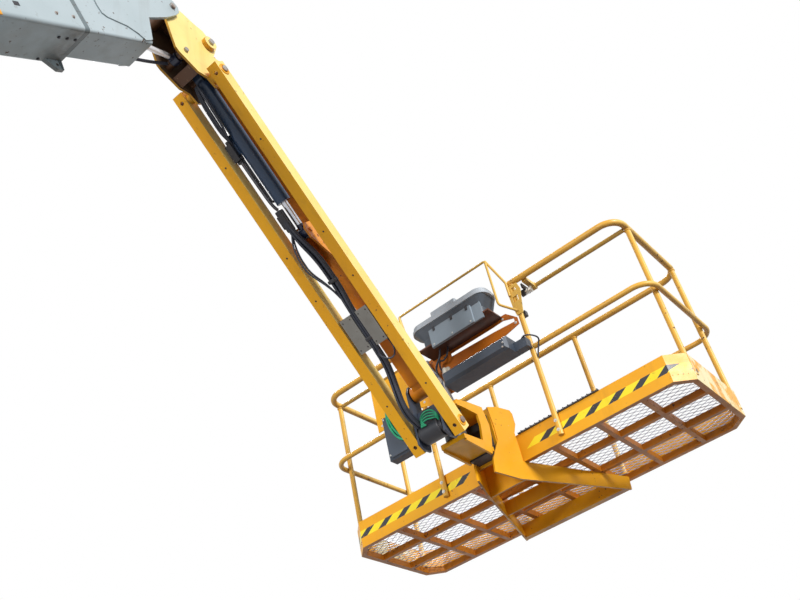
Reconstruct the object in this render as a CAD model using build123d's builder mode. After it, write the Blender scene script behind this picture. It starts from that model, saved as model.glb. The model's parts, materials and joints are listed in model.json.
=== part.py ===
"""Boom end, jib and work platform of a telescopic boom lift.

Millimetres, +X forward along the boom, +Y left, +Z up. The origin is the centre of the boom
stub's rear end. Each body is drawn in the pose of the photograph: boom raised, jib lowered,
platform level.
"""

from math import atan2, cos, degrees, hypot, radians, sin, sqrt, tan
import os

from build123d import *

os.makedirs("parts", exist_ok=True)

# Boom: two nested box sections, raised by BOOM_RISE.
BOOM_RISE = 34
FLY_W = 200
FLY_H = 360
FLY_WALL = 12
SLIDE_GAP = 14
OUTER_WALL = 12
OUTER_W = FLY_W + 2 * (SLIDE_GAP + OUTER_WALL)
OUTER_H = FLY_H + 2 * (SLIDE_GAP + OUTER_WALL)
OUTER_BEND = 20
FLY_BEND = 14
STUB_L = 1110
FLY_TAIL = 500
FLY_BELLY_END = 1583
PAD_L = 70
PAD_CLEAR = 1
PAD_SHARE = 0.6

# Nose of the fly section and its pin.
NOSE_ALONG = 1940
NOSE_RISE = 110
NOSE_PLATE_T = 6
NOSE_PIN_OUT = 18

# Knuckle: its pins, seen from the nose pin.
KNUCKLE_W = 160
KNUCKLE_T = 14
NOSE_BOSS_R = 32
NOSE_BOSS_OUT = 5
LINK_PIN_DX = 278
LINK_PIN_DZ = -357
PIN_SPREAD_X = -13
PIN_SPREAD_Z = 285
PIN_R = 18
PIN_GAP = 1
PIN_HEAD = 12
BOSS_R = 42
BOSS_T = 26
LINK_BOSS_R = 30
EYE_BOSS_T = 8
BOSS_GAP = 2
LEVEL_PIN_DX = 98
LEVEL_PIN_DZ = -267

# Jib: centre beam over two side links.
JIB_DROP = 47.9
LINK_L = 2252
LINK_W = 66
LINK_H = 80
LINK_WALL = 6
LINK_Y = 137
LINK_END = 52
BEAM_W = 110
BEAM_H = 100
BEAM_TOP_BOSS_W = 120
BEAM_LOW_BOSS_W = 150
BEAM_END = 46
BEAM_END_BOX = 60
BEAM_BEND = 10

# Jib cylinder: base pin on the knuckle, rod pin under the beam, both along the jib.
CYL_BASE_S = -60
CYL_EYE_S = 950
CYL_RISE = 40
CYL_R = 42
CYL_L = 805
ROD_R = 20
EYE_R = 34
EYE_W = 50
EYE_PIN_R = 14
EYE_GAP = 6

# Levelling cylinder: its base pin, seen along the boom, and its own sizes.
LEVEL_ALONG = 1076
LEVEL_RISE = 62
LEVEL_BARREL_L = 590
LEVEL_R = 34
LEVEL_ROD_R = 16
LEVEL_EYE_R = 30
LEVEL_EYE_W = 44

# Jib head and the rotator between it and the platform.
HEAD_W = 192
HEAD_T = 14
ROTATOR_DX = 194
ROTATOR_R = 62
ROTATOR_LOW = 14
ROTATOR_HIGH = 202
SHAFT_R = 24
YOKE_Y = 75
YOKE_T = 14
YOKE_GAP = 2

# Platform.
PLAT_DX = 644
PLAT_DZ = -50
PLAT_D = 886
PLAT_L = 2448
CORNER = 100
TOE_H = 175
TOE_T = 4
MESH_T = 6
RAIL_H = 1150
MID_H = 644
RAIL_R = 21
MID_R = 17
POST_R = 17
THIN_R = 14
RAIL_BEND = 120
CONSOLE_Y = 420
WELD_GAP = 0.2

RISE = radians(BOOM_RISE)
DROP = radians(JIB_DROP)


def along_boom(along, rise):
    """Point of the X-Z plane at a place along the boom's axis and a height over it."""
    return (along * cos(RISE) - rise * sin(RISE), along * sin(RISE) + rise * cos(RISE))


def along_jib(along, rise):
    """Point of the X-Z plane at a place along the side links and a height over them."""
    return (
        LINK_TOP[0] + along * cos(DROP) + rise * sin(DROP),
        LINK_TOP[1] - along * sin(DROP) + rise * cos(DROP),
    )


def moved(point, dx, dz):
    """The same point of the X-Z plane, moved."""
    return (point[0] + dx, point[1] + dz)


def side_plane(point=(0, 0), angle=0, y=0):
    """Plane seen from the right side: its x runs forward and up by the angle, z towards -Y."""
    turn = radians(angle)
    return Plane(origin=(point[0], y, point[1]), x_dir=(cos(turn), 0, sin(turn)), z_dir=(0, -1, 0))


NOSE = along_boom(NOSE_ALONG, NOSE_RISE)
LINK_TOP = moved(NOSE, LINK_PIN_DX, LINK_PIN_DZ)
BEAM_TOP = moved(LINK_TOP, PIN_SPREAD_X, PIN_SPREAD_Z)
LINK_LOW = along_jib(LINK_L, 0)
BEAM_LOW = moved(LINK_LOW, PIN_SPREAD_X, PIN_SPREAD_Z)
LEVEL_PIN = moved(NOSE, LEVEL_PIN_DX, LEVEL_PIN_DZ)
CYL_BASE = along_jib(CYL_BASE_S, CYL_RISE)
CYL_EYE = along_jib(CYL_EYE_S, CYL_RISE)
ROTATOR_X = LINK_LOW[0] + ROTATOR_DX
PLAT_X = LINK_LOW[0] + PLAT_DX
PLAT_Z = LINK_LOW[1] + PLAT_DZ
BOOM = side_plane(angle=BOOM_RISE)
JIB = side_plane(LINK_TOP, -JIB_DROP)
DECK = Plane(origin=(PLAT_X, 0, PLAT_Z))


def across(base, along, rise=0):
    """Plane across a side plane's x at a place along it; its x runs along +Y, its y up."""
    return Plane(origin=base.from_local_coords((along, rise, 0)), x_dir=(0, 1, 0), z_dir=base.x_dir)


def deck_side(y=0):
    """Side plane through the platform's near edge, at the underside of its floor."""
    return side_plane((PLAT_X, PLAT_Z), y=y)


# Outer boom section: a tube with a lug under its end.
LUG_R = 26
LUG_HOLE_R = 9
LUG_T = 20
LUG_X = STUB_L - 30
LUG_Y = OUTER_W / 2 - 22
LUG_DROP = 52
with BuildPart() as outer_boom:
    with BuildSketch(across(BOOM, 0)):
        RectangleRounded(OUTER_W, OUTER_H, OUTER_BEND)
        RectangleRounded(
            OUTER_W - 2 * OUTER_WALL,
            OUTER_H - 2 * OUTER_WALL,
            OUTER_BEND - OUTER_WALL,
            mode=Mode.SUBTRACT,
        )
    extrude(amount=STUB_L)
outer_boom.part.label = "outer_boom"
export_step(outer_boom.part, "parts/outer_boom.step")

with BuildPart() as collar_lug:
    with BuildSketch(BOOM.offset(-LUG_Y)):
        with BuildLine():
            Polyline(
                (LUG_X - 3 * LUG_R, -OUTER_H / 2),
                (LUG_X - LUG_R, -OUTER_H / 2 - LUG_DROP),
                (LUG_X + LUG_R / 2, -OUTER_H / 2 - LUG_DROP),
                (LUG_X + LUG_R, -OUTER_H / 2),
                close=True,
            )
        make_face()
        with Locations((LUG_X - LUG_R / 2, -OUTER_H / 2 - LUG_DROP + LUG_R)):
            Circle(LUG_HOLE_R, mode=Mode.SUBTRACT)
    extrude(amount=LUG_T / 2, both=True)
collar_lug.part.label = "collar_lug"
export_step(collar_lug.part, "parts/collar_lug.step")

# Slide pads inside the outer section's end: top, bottom, left, right.
PAD_T = SLIDE_GAP - PAD_CLEAR
PADS = (
    # y, rise, width, height
    (0, FLY_H / 2 + PAD_CLEAR + PAD_T / 2, FLY_W * PAD_SHARE, PAD_T),
    (0, -FLY_H / 2 - PAD_CLEAR - PAD_T / 2, FLY_W * PAD_SHARE, PAD_T),
    (FLY_W / 2 + PAD_CLEAR + PAD_T / 2, 0, PAD_T, FLY_H * PAD_SHARE),
    (-FLY_W / 2 - PAD_CLEAR - PAD_T / 2, 0, PAD_T, FLY_H * PAD_SHARE),
)
with BuildPart() as slide_pads:
    with BuildSketch(across(BOOM, STUB_L - PAD_L)):
        for y, rise, wide, high in PADS:
            with Locations((y, rise)):
                Rectangle(wide, high)
    extrude(amount=PAD_L)
slide_pads.part.label = "slide_pads"
export_step(slide_pads.part, "parts/slide_pads.step")

# Fly section: an open tube whose side walls run on as two cheeks to the nose pin.
HALF_H = FLY_H / 2
BELLY = -HALF_H
CHEEK = (
    # points from the nose pin: along the boom, rise
    (-275, -122),
    (-112, -91),
    (-13, -59),
    (35, -35),
    (52, 5),
    (38, 46),
    (0, HALF_H - NOSE_RISE),
)
cheek = [(NOSE_ALONG + along, NOSE_RISE + rise) for along, rise in CHEEK]
with BuildPart() as fly_boom:
    with BuildSketch(across(BOOM, FLY_TAIL)):
        RectangleRounded(FLY_W, FLY_H, FLY_BEND)
        RectangleRounded(
            FLY_W - 2 * FLY_WALL, FLY_H - 2 * FLY_WALL, FLY_BEND - FLY_WALL, mode=Mode.SUBTRACT
        )
    extrude(amount=FLY_BELLY_END - FLY_TAIL)
    for side in (-1, 1):
        with BuildSketch(BOOM.offset(side * (FLY_W - FLY_WALL) / 2)):
            with BuildLine():
                Polyline(
                    (FLY_BELLY_END - PAD_CLEAR, BELLY + FLY_BEND),
                    *cheek,
                    (FLY_BELLY_END - PAD_CLEAR, HALF_H),
                    close=True,
                )
            make_face()
            with Locations((NOSE_ALONG, NOSE_RISE)):
                Circle(PIN_R + PIN_GAP, mode=Mode.SUBTRACT)
        extrude(amount=FLY_WALL / 2, both=True)
fly_boom.part.label = "fly_boom"
export_step(fly_boom.part, "parts/fly_boom.step")

# Plates that stiffen the two cheeks, with a curved rear edge.
PLATE_REAR = (
    # points from the nose pin: along the boom, rise
    (-600, 58),
    (-638, -20),
    (-645, -119),
    (-640, -160),
    (-615, -180),
    (-498, -212),
    (-443, -248),
    (-413, -283),
)
with BuildPart() as nose_plates:
    for side in (-1, 1):
        with BuildSketch(BOOM.offset(side * FLY_W / 2)):
            with BuildLine():
                Polyline(
                    *[(NOSE_ALONG + along, NOSE_RISE + rise) for along, rise in PLATE_REAR],
                    (FLY_BELLY_END, BELLY + FLY_BEND),
                    *cheek[:-1],
                    (NOSE_ALONG, HALF_H - FLY_BEND),
                    close=True,
                )
            make_face()
            with Locations((NOSE_ALONG, NOSE_RISE)):
                Circle(PIN_R, mode=Mode.SUBTRACT)
        extrude(amount=side * NOSE_PLATE_T)
nose_plates.part.label = "nose_plates"
export_step(nose_plates.part, "parts/nose_plates.step")

with BuildPart() as nose_pin:
    with BuildSketch(BOOM):
        with Locations((NOSE_ALONG, NOSE_RISE)):
            Circle(PIN_R)
    extrude(amount=FLY_W / 2 + NOSE_PIN_OUT, both=True)
nose_pin.part.label = "nose_pin"
export_step(nose_pin.part, "parts/nose_pin.step")

# Pins of the knuckle: beam, levelling rod, jib cylinder, and a stub for each side link.
PLATE_Y = (KNUCKLE_W - KNUCKLE_T) / 2
KNUCKLE_IN = KNUCKLE_W - 2 * KNUCKLE_T
BOSS_PIN = KNUCKLE_W / 2 + BOSS_T + PIN_HEAD
LINK_OUT = LINK_Y + LINK_W / 2 + PIN_HEAD
with BuildPart() as knuckle_pins:
    for place, reach, r in (
        (BEAM_TOP, BOSS_PIN, PIN_R),
        (CYL_BASE, KNUCKLE_IN / 2, EYE_PIN_R),
    ):
        with BuildSketch(side_plane(place)):
            Circle(r)
        extrude(amount=reach, both=True)
    for side in (-1, 1):
        for place, start, stop, r in (
            (LINK_TOP, KNUCKLE_IN / 2 + BOSS_GAP, LINK_OUT, PIN_R),
            (LEVEL_PIN, EYE_GAP + LEVEL_EYE_W / 2, KNUCKLE_W / 2 + PIN_HEAD, EYE_PIN_R),
        ):
            with BuildSketch(side_plane(place, y=side * start)):
                Circle(r)
            extrude(amount=side * (start - stop))
knuckle_pins.part.label = "knuckle_pins"
export_step(knuckle_pins.part, "parts/knuckle_pins.step")

# Knuckle: two plates joined by a top web and a rear web, with a boss round each pin.
KNUCKLE = (
    # points from the nose pin
    (-46, 20),
    (-22, 62),
    (93, 61),
    (174, 38),
    (236, 31),
    (329, -45),
    (302, -144),
    (344, -144),
    (342, -300),
    (330, -380),
    (300, -402),
    (245, -366),
    (179, -374),
    (55, -316),
    (32, -294),
    (-22, -108),
)
TOP_WEB = (
    (-8, 54),
    (92, 51),
    (172, 28),
    (172, -170),
    (160, -170),
    (160, 18),
    (88, 39),
    (-4, 42),
)
LOW_WEB = (
    (134, -326),
    (196, -352),
    (190, -366),
    (128, -340),
)
LINK_IN = LINK_Y - LINK_W / 2
with BuildPart() as knuckle:
    for side in (-1, 1):
        with BuildSketch(side_plane(NOSE, y=side * PLATE_Y)):
            with BuildLine():
                Polyline(*KNUCKLE, close=True)
            make_face()
        extrude(amount=KNUCKLE_T / 2, both=True)
    for web in (TOP_WEB, LOW_WEB):
        with BuildSketch(side_plane(NOSE)):
            with BuildLine():
                Polyline(*web, close=True)
            make_face()
        extrude(amount=PLATE_Y, both=True)
    with BuildSketch(side_plane(NOSE)):
        Circle(NOSE_BOSS_R)
    extrude(amount=KNUCKLE_W / 2 + NOSE_BOSS_OUT, both=True)
    for side in (-1, 1):
        for place, start, stop, r in (
            (BEAM_TOP, KNUCKLE_W / 2, KNUCKLE_W / 2 + BOSS_T, BOSS_R),
            (LINK_TOP, KNUCKLE_W / 2, LINK_IN - BOSS_GAP, LINK_BOSS_R),
            (CYL_BASE, EYE_W / 2 + EYE_GAP, PLATE_Y, EYE_PIN_R + EYE_BOSS_T),
            (LEVEL_PIN, LEVEL_EYE_W / 2 + EYE_GAP, PLATE_Y, EYE_PIN_R + EYE_BOSS_T),
        ):
            with BuildSketch(side_plane(place, y=side * start)):
                Circle(r)
            extrude(amount=side * (start - stop))
    with BuildSketch(side_plane(NOSE)):
        Circle(PIN_R + PIN_GAP)
    extrude(amount=KNUCKLE_W, both=True, mode=Mode.SUBTRACT)
    add(knuckle_pins.part, mode=Mode.SUBTRACT)
knuckle.part.label = "knuckle"
export_step(knuckle.part, "parts/knuckle.step")

# Levelling cylinder, from a pin across the fly section to the knuckle.
LEVEL_BASE = along_boom(LEVEL_ALONG, LEVEL_RISE)
LEVEL_ANGLE = degrees(atan2(LEVEL_PIN[1] - LEVEL_BASE[1], LEVEL_PIN[0] - LEVEL_BASE[0]))
LEVEL_L = hypot(LEVEL_PIN[0] - LEVEL_BASE[0], LEVEL_PIN[1] - LEVEL_BASE[1])
LEVEL = side_plane(LEVEL_BASE, LEVEL_ANGLE)
with BuildPart() as level_pin:
    with BuildSketch(side_plane(LEVEL_BASE)):
        Circle(EYE_PIN_R)
    extrude(amount=FLY_W / 2 - FLY_WALL, both=True)
level_pin.part.label = "level_pin"
export_step(level_pin.part, "parts/level_pin.step")

JIB_ANGLE = -degrees(atan2(CYL_BASE[1] - CYL_EYE[1], CYL_EYE[0] - CYL_BASE[0]))
CYL_SPAN = hypot(CYL_EYE[0] - CYL_BASE[0], CYL_EYE[1] - CYL_BASE[1])
CYL = side_plane(CYL_BASE, JIB_ANGLE)
CYLINDERS = (
    # name, side plane, barrel radius, barrel length, rod radius, span, eye radius, eye width
    ("level", LEVEL, LEVEL_R, LEVEL_BARREL_L, LEVEL_ROD_R, LEVEL_L, LEVEL_EYE_R, LEVEL_EYE_W),
    ("jib", CYL, CYL_R, CYL_L, ROD_R, CYL_SPAN, EYE_R, EYE_W),
)
GLAND_L = 30
ROD_SLACK = 1
BORE_SHARE = 0.8
ROD_TAIL_SHARE = 0.4
NECK_SHARE = 0.9
NECK_W_SHARE = 1.6
ROD_END_SHARE = 0.6
for name, plane, barrel_r, barrel_l, rod_r, span, eye_r, eye_w in CYLINDERS:
    bore_r = barrel_r * BORE_SHARE
    with BuildPart() as barrel:
        with BuildSketch(across(plane, eye_r * NECK_SHARE)):
            Circle(barrel_r)
        extrude(amount=barrel_l - eye_r * NECK_SHARE)
        with BuildSketch(plane):
            Circle(eye_r)
            with Locations((eye_r / 2, 0)):
                Rectangle(eye_r, eye_r * NECK_W_SHARE)
        extrude(amount=eye_w / 2, both=True)
        with BuildSketch(across(plane, eye_r * 2)):
            Circle(bore_r)
        extrude(amount=barrel_l - eye_r * 2 - GLAND_L, mode=Mode.SUBTRACT)
        with BuildSketch(across(plane, barrel_l - GLAND_L - ROD_SLACK)):
            Circle(rod_r + ROD_SLACK)
        extrude(amount=GLAND_L + 2 * ROD_SLACK, mode=Mode.SUBTRACT)
        with BuildSketch(plane):
            Circle(EYE_PIN_R + PIN_GAP)
        extrude(amount=eye_w, both=True, mode=Mode.SUBTRACT)
    barrel.part.label = name + "_barrel"
    export_step(barrel.part, "parts/" + name + "_barrel.step")
    with BuildPart() as rod:
        with BuildSketch(across(plane, ROD_TAIL_SHARE * span)):
            Circle(rod_r)
        extrude(amount=span - eye_r * ROD_END_SHARE - ROD_TAIL_SHARE * span)
        with BuildSketch(plane):
            with Locations((span, 0)):
                Circle(eye_r)
        extrude(amount=eye_w / 2, both=True)
        with BuildSketch(plane):
            with Locations((span, 0)):
                Circle(EYE_PIN_R + PIN_GAP)
        extrude(amount=eye_w, both=True, mode=Mode.SUBTRACT)
    rod.part.label = name + "_rod"
    export_step(rod.part, "parts/" + name + "_rod.step")

# Valve block on the jib cylinder's left side, and the pipe from it to the gland end.
VALVE_AT = 340
VALVE_L = 120
VALVE_H = 46
VALVE_T = 30
VALVE_CUT = 8
VALVE_SUNK = 4
PIPE_R = 7
PIPE_END = 770
PIPE_TURN = 18
VALVE_Y = CYL_R - VALVE_SUNK
PIPE_Y = CYL_R + PIPE_TURN
with BuildPart() as cylinder_valve:
    with BuildSketch(CYL.offset(-VALVE_Y)):
        with Locations((VALVE_AT + VALVE_L / 2, 0)):
            Rectangle(VALVE_L, VALVE_H)
    extrude(amount=-VALVE_T)
    chamfer(cylinder_valve.edges().group_by(Axis.Y)[-1], length=VALVE_CUT)
    with BuildSketch(across(CYL, 0)):
        Circle(CYL_R)
    extrude(amount=CYL_L, mode=Mode.SUBTRACT)
cylinder_valve.part.label = "cylinder_valve"
export_step(cylinder_valve.part, "parts/cylinder_valve.step")

with BuildPart() as valve_pipe:
    with BuildLine():
        FilletPolyline(
            CYL.from_local_coords((VALVE_AT + VALVE_L, 0, -PIPE_Y)),
            CYL.from_local_coords((PIPE_END, 0, -PIPE_Y)),
            CYL.from_local_coords((PIPE_END, 0, -CYL_R)),
            radius=PIPE_TURN - PIPE_R / 2,
        )
    with BuildSketch(
        Plane(
            origin=CYL.from_local_coords((VALVE_AT + VALVE_L, 0, -PIPE_Y)),
            z_dir=CYL.x_dir,
        )
    ):
        Circle(PIPE_R)
    sweep()
valve_pipe.part.label = "valve_pipe"
export_step(valve_pipe.part, "parts/valve_pipe.step")

# Jib beam: a box over the side links, with a boss at each pin.
BEAM = side_plane(BEAM_TOP, -JIB_DROP)
BEAM_ENDS = (
    # place along the beam, way to its middle, boss width
    (0, 1, BEAM_TOP_BOSS_W),
    (LINK_L, -1, BEAM_LOW_BOSS_W),
)
BEAM_NECK_SHARE = 0.8
BEAM_NECK_W = 98
with BuildPart() as jib_beam:
    with BuildSketch(across(BEAM, BEAM_END_BOX)):
        RectangleRounded(BEAM_W, BEAM_H, BEAM_BEND)
    extrude(amount=LINK_L - 2 * BEAM_END_BOX)
    for place, way, boss_w in BEAM_ENDS:
        with BuildSketch(BEAM):
            with Locations((place, 0)):
                Circle(BEAM_END)
        extrude(amount=boss_w / 2, both=True)
        with BuildSketch(BEAM):
            with Locations((place + way * BEAM_END_BOX / 2, 0)):
                Rectangle(BEAM_END_BOX, BEAM_H * BEAM_NECK_SHARE)
        extrude(amount=BEAM_NECK_W / 2, both=True)
        with BuildSketch(BEAM):
            with Locations((place, 0)):
                Circle(PIN_R + PIN_GAP)
        extrude(amount=boss_w, both=True, mode=Mode.SUBTRACT)
jib_beam.part.label = "jib_beam"
export_step(jib_beam.part, "parts/jib_beam.step")

# Bracket under the beam for the cylinder's rod: two plates and a pin.
BEAM_BELLY = JIB.to_local_coords(Vector(BEAM_TOP[0], 0, BEAM_TOP[1])).Y - BEAM_H / 2
BRACKET_T = 12
BRACKET_Y = EYE_W / 2 + EYE_GAP + BRACKET_T / 2
CYL_BRACKET = (
    # points from the rod's eye, low ones; the two ends reach the beam's belly
    (-45, -20),
    (-20, -44),
    (40, -40),
    (190, BEAM_BELLY - CYL_RISE - 40),
)
CYL_BRACKET_ENDS = (-45, 230)
with BuildPart() as cylinder_bracket:
    for side in (-1, 1):
        with BuildSketch(JIB.offset(side * BRACKET_Y)):
            with BuildLine():
                Polyline(
                    (CYL_EYE_S + CYL_BRACKET_ENDS[0], BEAM_BELLY),
                    *[(CYL_EYE_S + along, CYL_RISE + rise) for along, rise in CYL_BRACKET],
                    (CYL_EYE_S + CYL_BRACKET_ENDS[1], BEAM_BELLY),
                    close=True,
                )
            make_face()
        extrude(amount=BRACKET_T / 2, both=True)
        with BuildSketch(JIB.offset(side * BRACKET_Y)):
            with Locations((CYL_EYE_S, CYL_RISE)):
                Circle(EYE_PIN_R)
        extrude(amount=side * BRACKET_T)
cylinder_bracket.part.label = "cylinder_bracket"
export_step(cylinder_bracket.part, "parts/cylinder_bracket.step")

# Two boxes hung side by side under the beam, from two cross bars.
BOXES = (
    # name, y, width
    ("left", 52, 78),
    ("right", -59, 78),
)
BOX_SHARE = 0.646
BOX_S = LINK_L * BOX_SHARE
BOX_L = 215
BOX_H = 46
BOX_LOW = -42
BOX_BEND = 5
HANGER_IN = 40
HANGER_L = 20
HANGER_W = 60
HANGER_BAR_W = 190
HANGER_BAR_H = 8
BOX_TOP = BOX_LOW + BOX_H
with BuildPart() as box_hangers:
    for place in (BOX_S + HANGER_IN, BOX_S + BOX_L - HANGER_IN):
        with BuildSketch(across(JIB, place - HANGER_L / 2)):
            with Locations((0, (BOX_TOP + BEAM_BELLY) / 2)):
                Rectangle(HANGER_W, BEAM_BELLY - BOX_TOP)
            with Locations((0, BOX_TOP + HANGER_BAR_H / 2)):
                Rectangle(HANGER_BAR_W, HANGER_BAR_H)
        extrude(amount=HANGER_L)
box_hangers.part.label = "box_hangers"
export_step(box_hangers.part, "parts/box_hangers.step")
for name, y, wide in BOXES:
    with BuildPart() as box:
        with BuildSketch(across(JIB, BOX_S)):
            with Locations((y, BOX_LOW + BOX_H / 2)):
                RectangleRounded(wide, BOX_H, BOX_BEND)
        extrude(amount=BOX_L)
    box.part.label = "jib_box_" + name
    export_step(box.part, "parts/jib_box_" + name + ".step")

# Side links: open square tubes, bored for their pins, with a hole in the belly under each pin.
BELLY_HOLE_R = 11
for name, y in (("left", LINK_Y), ("right", -LINK_Y)):
    with BuildPart() as link:
        with BuildSketch(across(JIB, -LINK_END)):
            with Locations((y, 0)):
                Rectangle(LINK_W, LINK_H)
                Rectangle(LINK_W - 2 * LINK_WALL, LINK_H - 2 * LINK_WALL, mode=Mode.SUBTRACT)
        extrude(amount=LINK_L + 2 * LINK_END)
        with BuildSketch(JIB.offset(-y)):
            with Locations((0, 0), (LINK_L, 0)):
                Circle(PIN_R + PIN_GAP)
        extrude(amount=LINK_W, both=True, mode=Mode.SUBTRACT)
        with BuildSketch(Plane(origin=JIB.from_local_coords((0, 0, -y)), x_dir=JIB.x_dir, z_dir=-JIB.y_dir)):
            with Locations((0, 0), (LINK_L, 0)):
                Circle(BELLY_HOLE_R)
        extrude(amount=LINK_H, mode=Mode.SUBTRACT)
    link.part.label = "jib_link_" + name
    export_step(link.part, "parts/jib_link_" + name + ".step")

# Jib head: two plates between the links, and the rotator's housing between them.
HEAD = (
    # points from the links' low pins
    (-60, -40),
    (-20, -62),
    (40, -58),
    (52, 30),
    (38, 120),
    (36, 300),
    (10, 334),
    (-44, 334),
    (-66, 290),
    (-60, 120),
)
HEAD_PLATE_Y = (HEAD_W - HEAD_T) / 2
HEAD_IN = HEAD_W / 2 - HEAD_T
with BuildPart() as head_pins:
    with BuildSketch(side_plane(BEAM_LOW)):
        Circle(PIN_R)
    extrude(amount=HEAD_W / 2 + PIN_HEAD, both=True)
    for side in (-1, 1):
        with BuildSketch(side_plane(LINK_LOW, y=side * (HEAD_IN + BOSS_GAP))):
            Circle(PIN_R)
        extrude(amount=-side * (LINK_OUT - HEAD_IN - BOSS_GAP))
head_pins.part.label = "head_pins"
export_step(head_pins.part, "parts/head_pins.step")

HEAD_BLOCK_RISE = 110
HEAD_BLOCK_L = 40
HEAD_BLOCK_H = 110
with BuildPart() as jib_head:
    for side in (-1, 1):
        with BuildSketch(side_plane(LINK_LOW, y=side * HEAD_PLATE_Y)):
            with BuildLine():
                Polyline(*HEAD, close=True)
            make_face()
        extrude(amount=HEAD_T / 2, both=True)
    with BuildSketch(side_plane(LINK_LOW)):
        with Locations((0, HEAD_BLOCK_RISE)):
            Rectangle(HEAD_BLOCK_L, HEAD_BLOCK_H)
    extrude(amount=HEAD_PLATE_Y, both=True)
    add(head_pins.part, mode=Mode.SUBTRACT)
jib_head.part.label = "jib_head"
export_step(jib_head.part, "parts/jib_head.step")

HOUSING_Z = LINK_LOW[1] + ROTATOR_LOW
HOUSING_H = ROTATOR_HIGH - ROTATOR_LOW
GEAR_RISE = 70
GEAR_H = 80
GEAR_W = 94
GEAR_BACK = LINK_LOW[0] + HEAD_BLOCK_L / 2
with BuildPart() as rotator_housing:
    with BuildSketch(Plane.XY.offset(HOUSING_Z)):
        with Locations((ROTATOR_X, 0)):
            Circle(ROTATOR_R)
    extrude(amount=HOUSING_H)
    with BuildSketch(Plane.XY.offset(LINK_LOW[1] + GEAR_RISE)):
        with Locations(((GEAR_BACK + ROTATOR_X) / 2, 0)):
            Rectangle(ROTATOR_X - GEAR_BACK, GEAR_W)
    extrude(amount=GEAR_H)
    with BuildSketch(Plane.XY.offset(HOUSING_Z)):
        with Locations((ROTATOR_X, 0)):
            Circle(SHAFT_R + PIN_GAP)
    extrude(amount=HOUSING_H, mode=Mode.SUBTRACT)
rotator_housing.part.label = "rotator_housing"
export_step(rotator_housing.part, "parts/rotator_housing.step")

# Rotator's yoke: two arms over and under the housing, with a side plate left and right.
YOKE = (
    (-486, 250),
    (-420, 254),
    (-292, 258),
    (-284, 184),
    (-307, 76),
    (-486, 62),
    (-486, 22),
    (-238, 10),
    (-196, 136),
    (-184, 217),
    (-217, 327),
    (-370, 310),
    (-486, 288),
)
YOKE_IN = YOKE_Y - YOKE_T / 2
YOKE_OUT = YOKE_Y + YOKE_T / 2
ARM_BACK = -500
ARM_FRONT = -210
LOW_ARM_H = 30
HIGH_ARM_H = 26
LINK_PIN_Z = LINK_LOW[1] - PLAT_Z
LOW_ARM_Z = LINK_PIN_Z + ROTATOR_LOW - YOKE_GAP - LOW_ARM_H
HIGH_ARM_Z = LINK_PIN_Z + ROTATOR_HIGH + YOKE_GAP
with BuildPart() as rotator_yoke:
    for side in (-1, 1):
        with BuildSketch(deck_side(side * YOKE_Y)):
            with BuildLine():
                Polyline(*YOKE, close=True)
            make_face()
        extrude(amount=YOKE_T / 2, both=True)
    for low, high in ((LOW_ARM_Z, LOW_ARM_H), (HIGH_ARM_Z, HIGH_ARM_H)):
        with BuildSketch(DECK.offset(low)):
            with Locations(((ARM_BACK + ARM_FRONT) / 2, 0)):
                Rectangle(ARM_FRONT - ARM_BACK, 2 * YOKE_OUT)
        extrude(amount=high)
rotator_yoke.part.label = "rotator_yoke"
export_step(rotator_yoke.part, "parts/rotator_yoke.step")

with BuildPart() as rotator_shaft:
    with BuildSketch(Plane.XY.offset(HOUSING_Z - YOKE_GAP)):
        with Locations((ROTATOR_X, 0)):
            Circle(SHAFT_R)
    extrude(amount=HOUSING_H + 2 * YOKE_GAP)
rotator_shaft.part.label = "rotator_shaft"
export_step(rotator_shaft.part, "parts/rotator_shaft.step")

# Platform bracket: two splayed plates that run under the floor as arms, and their cross bars.
SPLAY = 18.1
SPLAY_Y = 135
SPLAY_T = 12
STRETCH = 1 / cos(radians(SPLAY))
SPLAY_SLOPE = tan(radians(SPLAY))
BRACKET = (
    (-160, 345),
    (-87, 358),
    (4, 350),
    (18, 328),
    (18, 253),
    (-8, 190),
    (-8, 0),
    (815, 0),
    (803, -89),
    (488, -100),
    (-62, -120),
    (-231, -94),
    (-220, -8),
    (-151, 122),
    (-149, 210),
)


def splay_plane(side):
    """Upright plane of one splayed bracket plate; its x runs forward and outward."""
    turn = radians(SPLAY)
    return Plane(
        origin=(PLAT_X, side * SPLAY_Y, PLAT_Z),
        x_dir=(cos(turn), side * sin(turn), 0),
        z_dir=(side * sin(turn), -cos(turn), 0),
    )


CROSS_PLATES = (
    # near and far face, low and high edge
    (-158, -146, 0, 340),
    (-14, 0, -110, 170),
    (340, 352, -90, 0),
    (750, 800, -88, 0),
)
with BuildPart() as platform_bracket:
    for side in (-1, 1):
        with BuildSketch(splay_plane(side)):
            with BuildLine():
                Polyline(*[(x * STRETCH, z) for x, z in BRACKET], close=True)
            make_face()
        extrude(amount=SPLAY_T / 2, both=True)
    for near, far, low, high in CROSS_PLATES:
        with BuildSketch(DECK.offset(low)):
            with BuildLine():
                Polyline(
                    (near, -SPLAY_Y - near * SPLAY_SLOPE),
                    (far, -SPLAY_Y - far * SPLAY_SLOPE),
                    (far, SPLAY_Y + far * SPLAY_SLOPE),
                    (near, SPLAY_Y + near * SPLAY_SLOPE),
                    close=True,
                )
            make_face()
        extrude(amount=high - low)
platform_bracket.part.label = "platform_bracket"
export_step(platform_bracket.part, "parts/platform_bracket.step")

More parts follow.
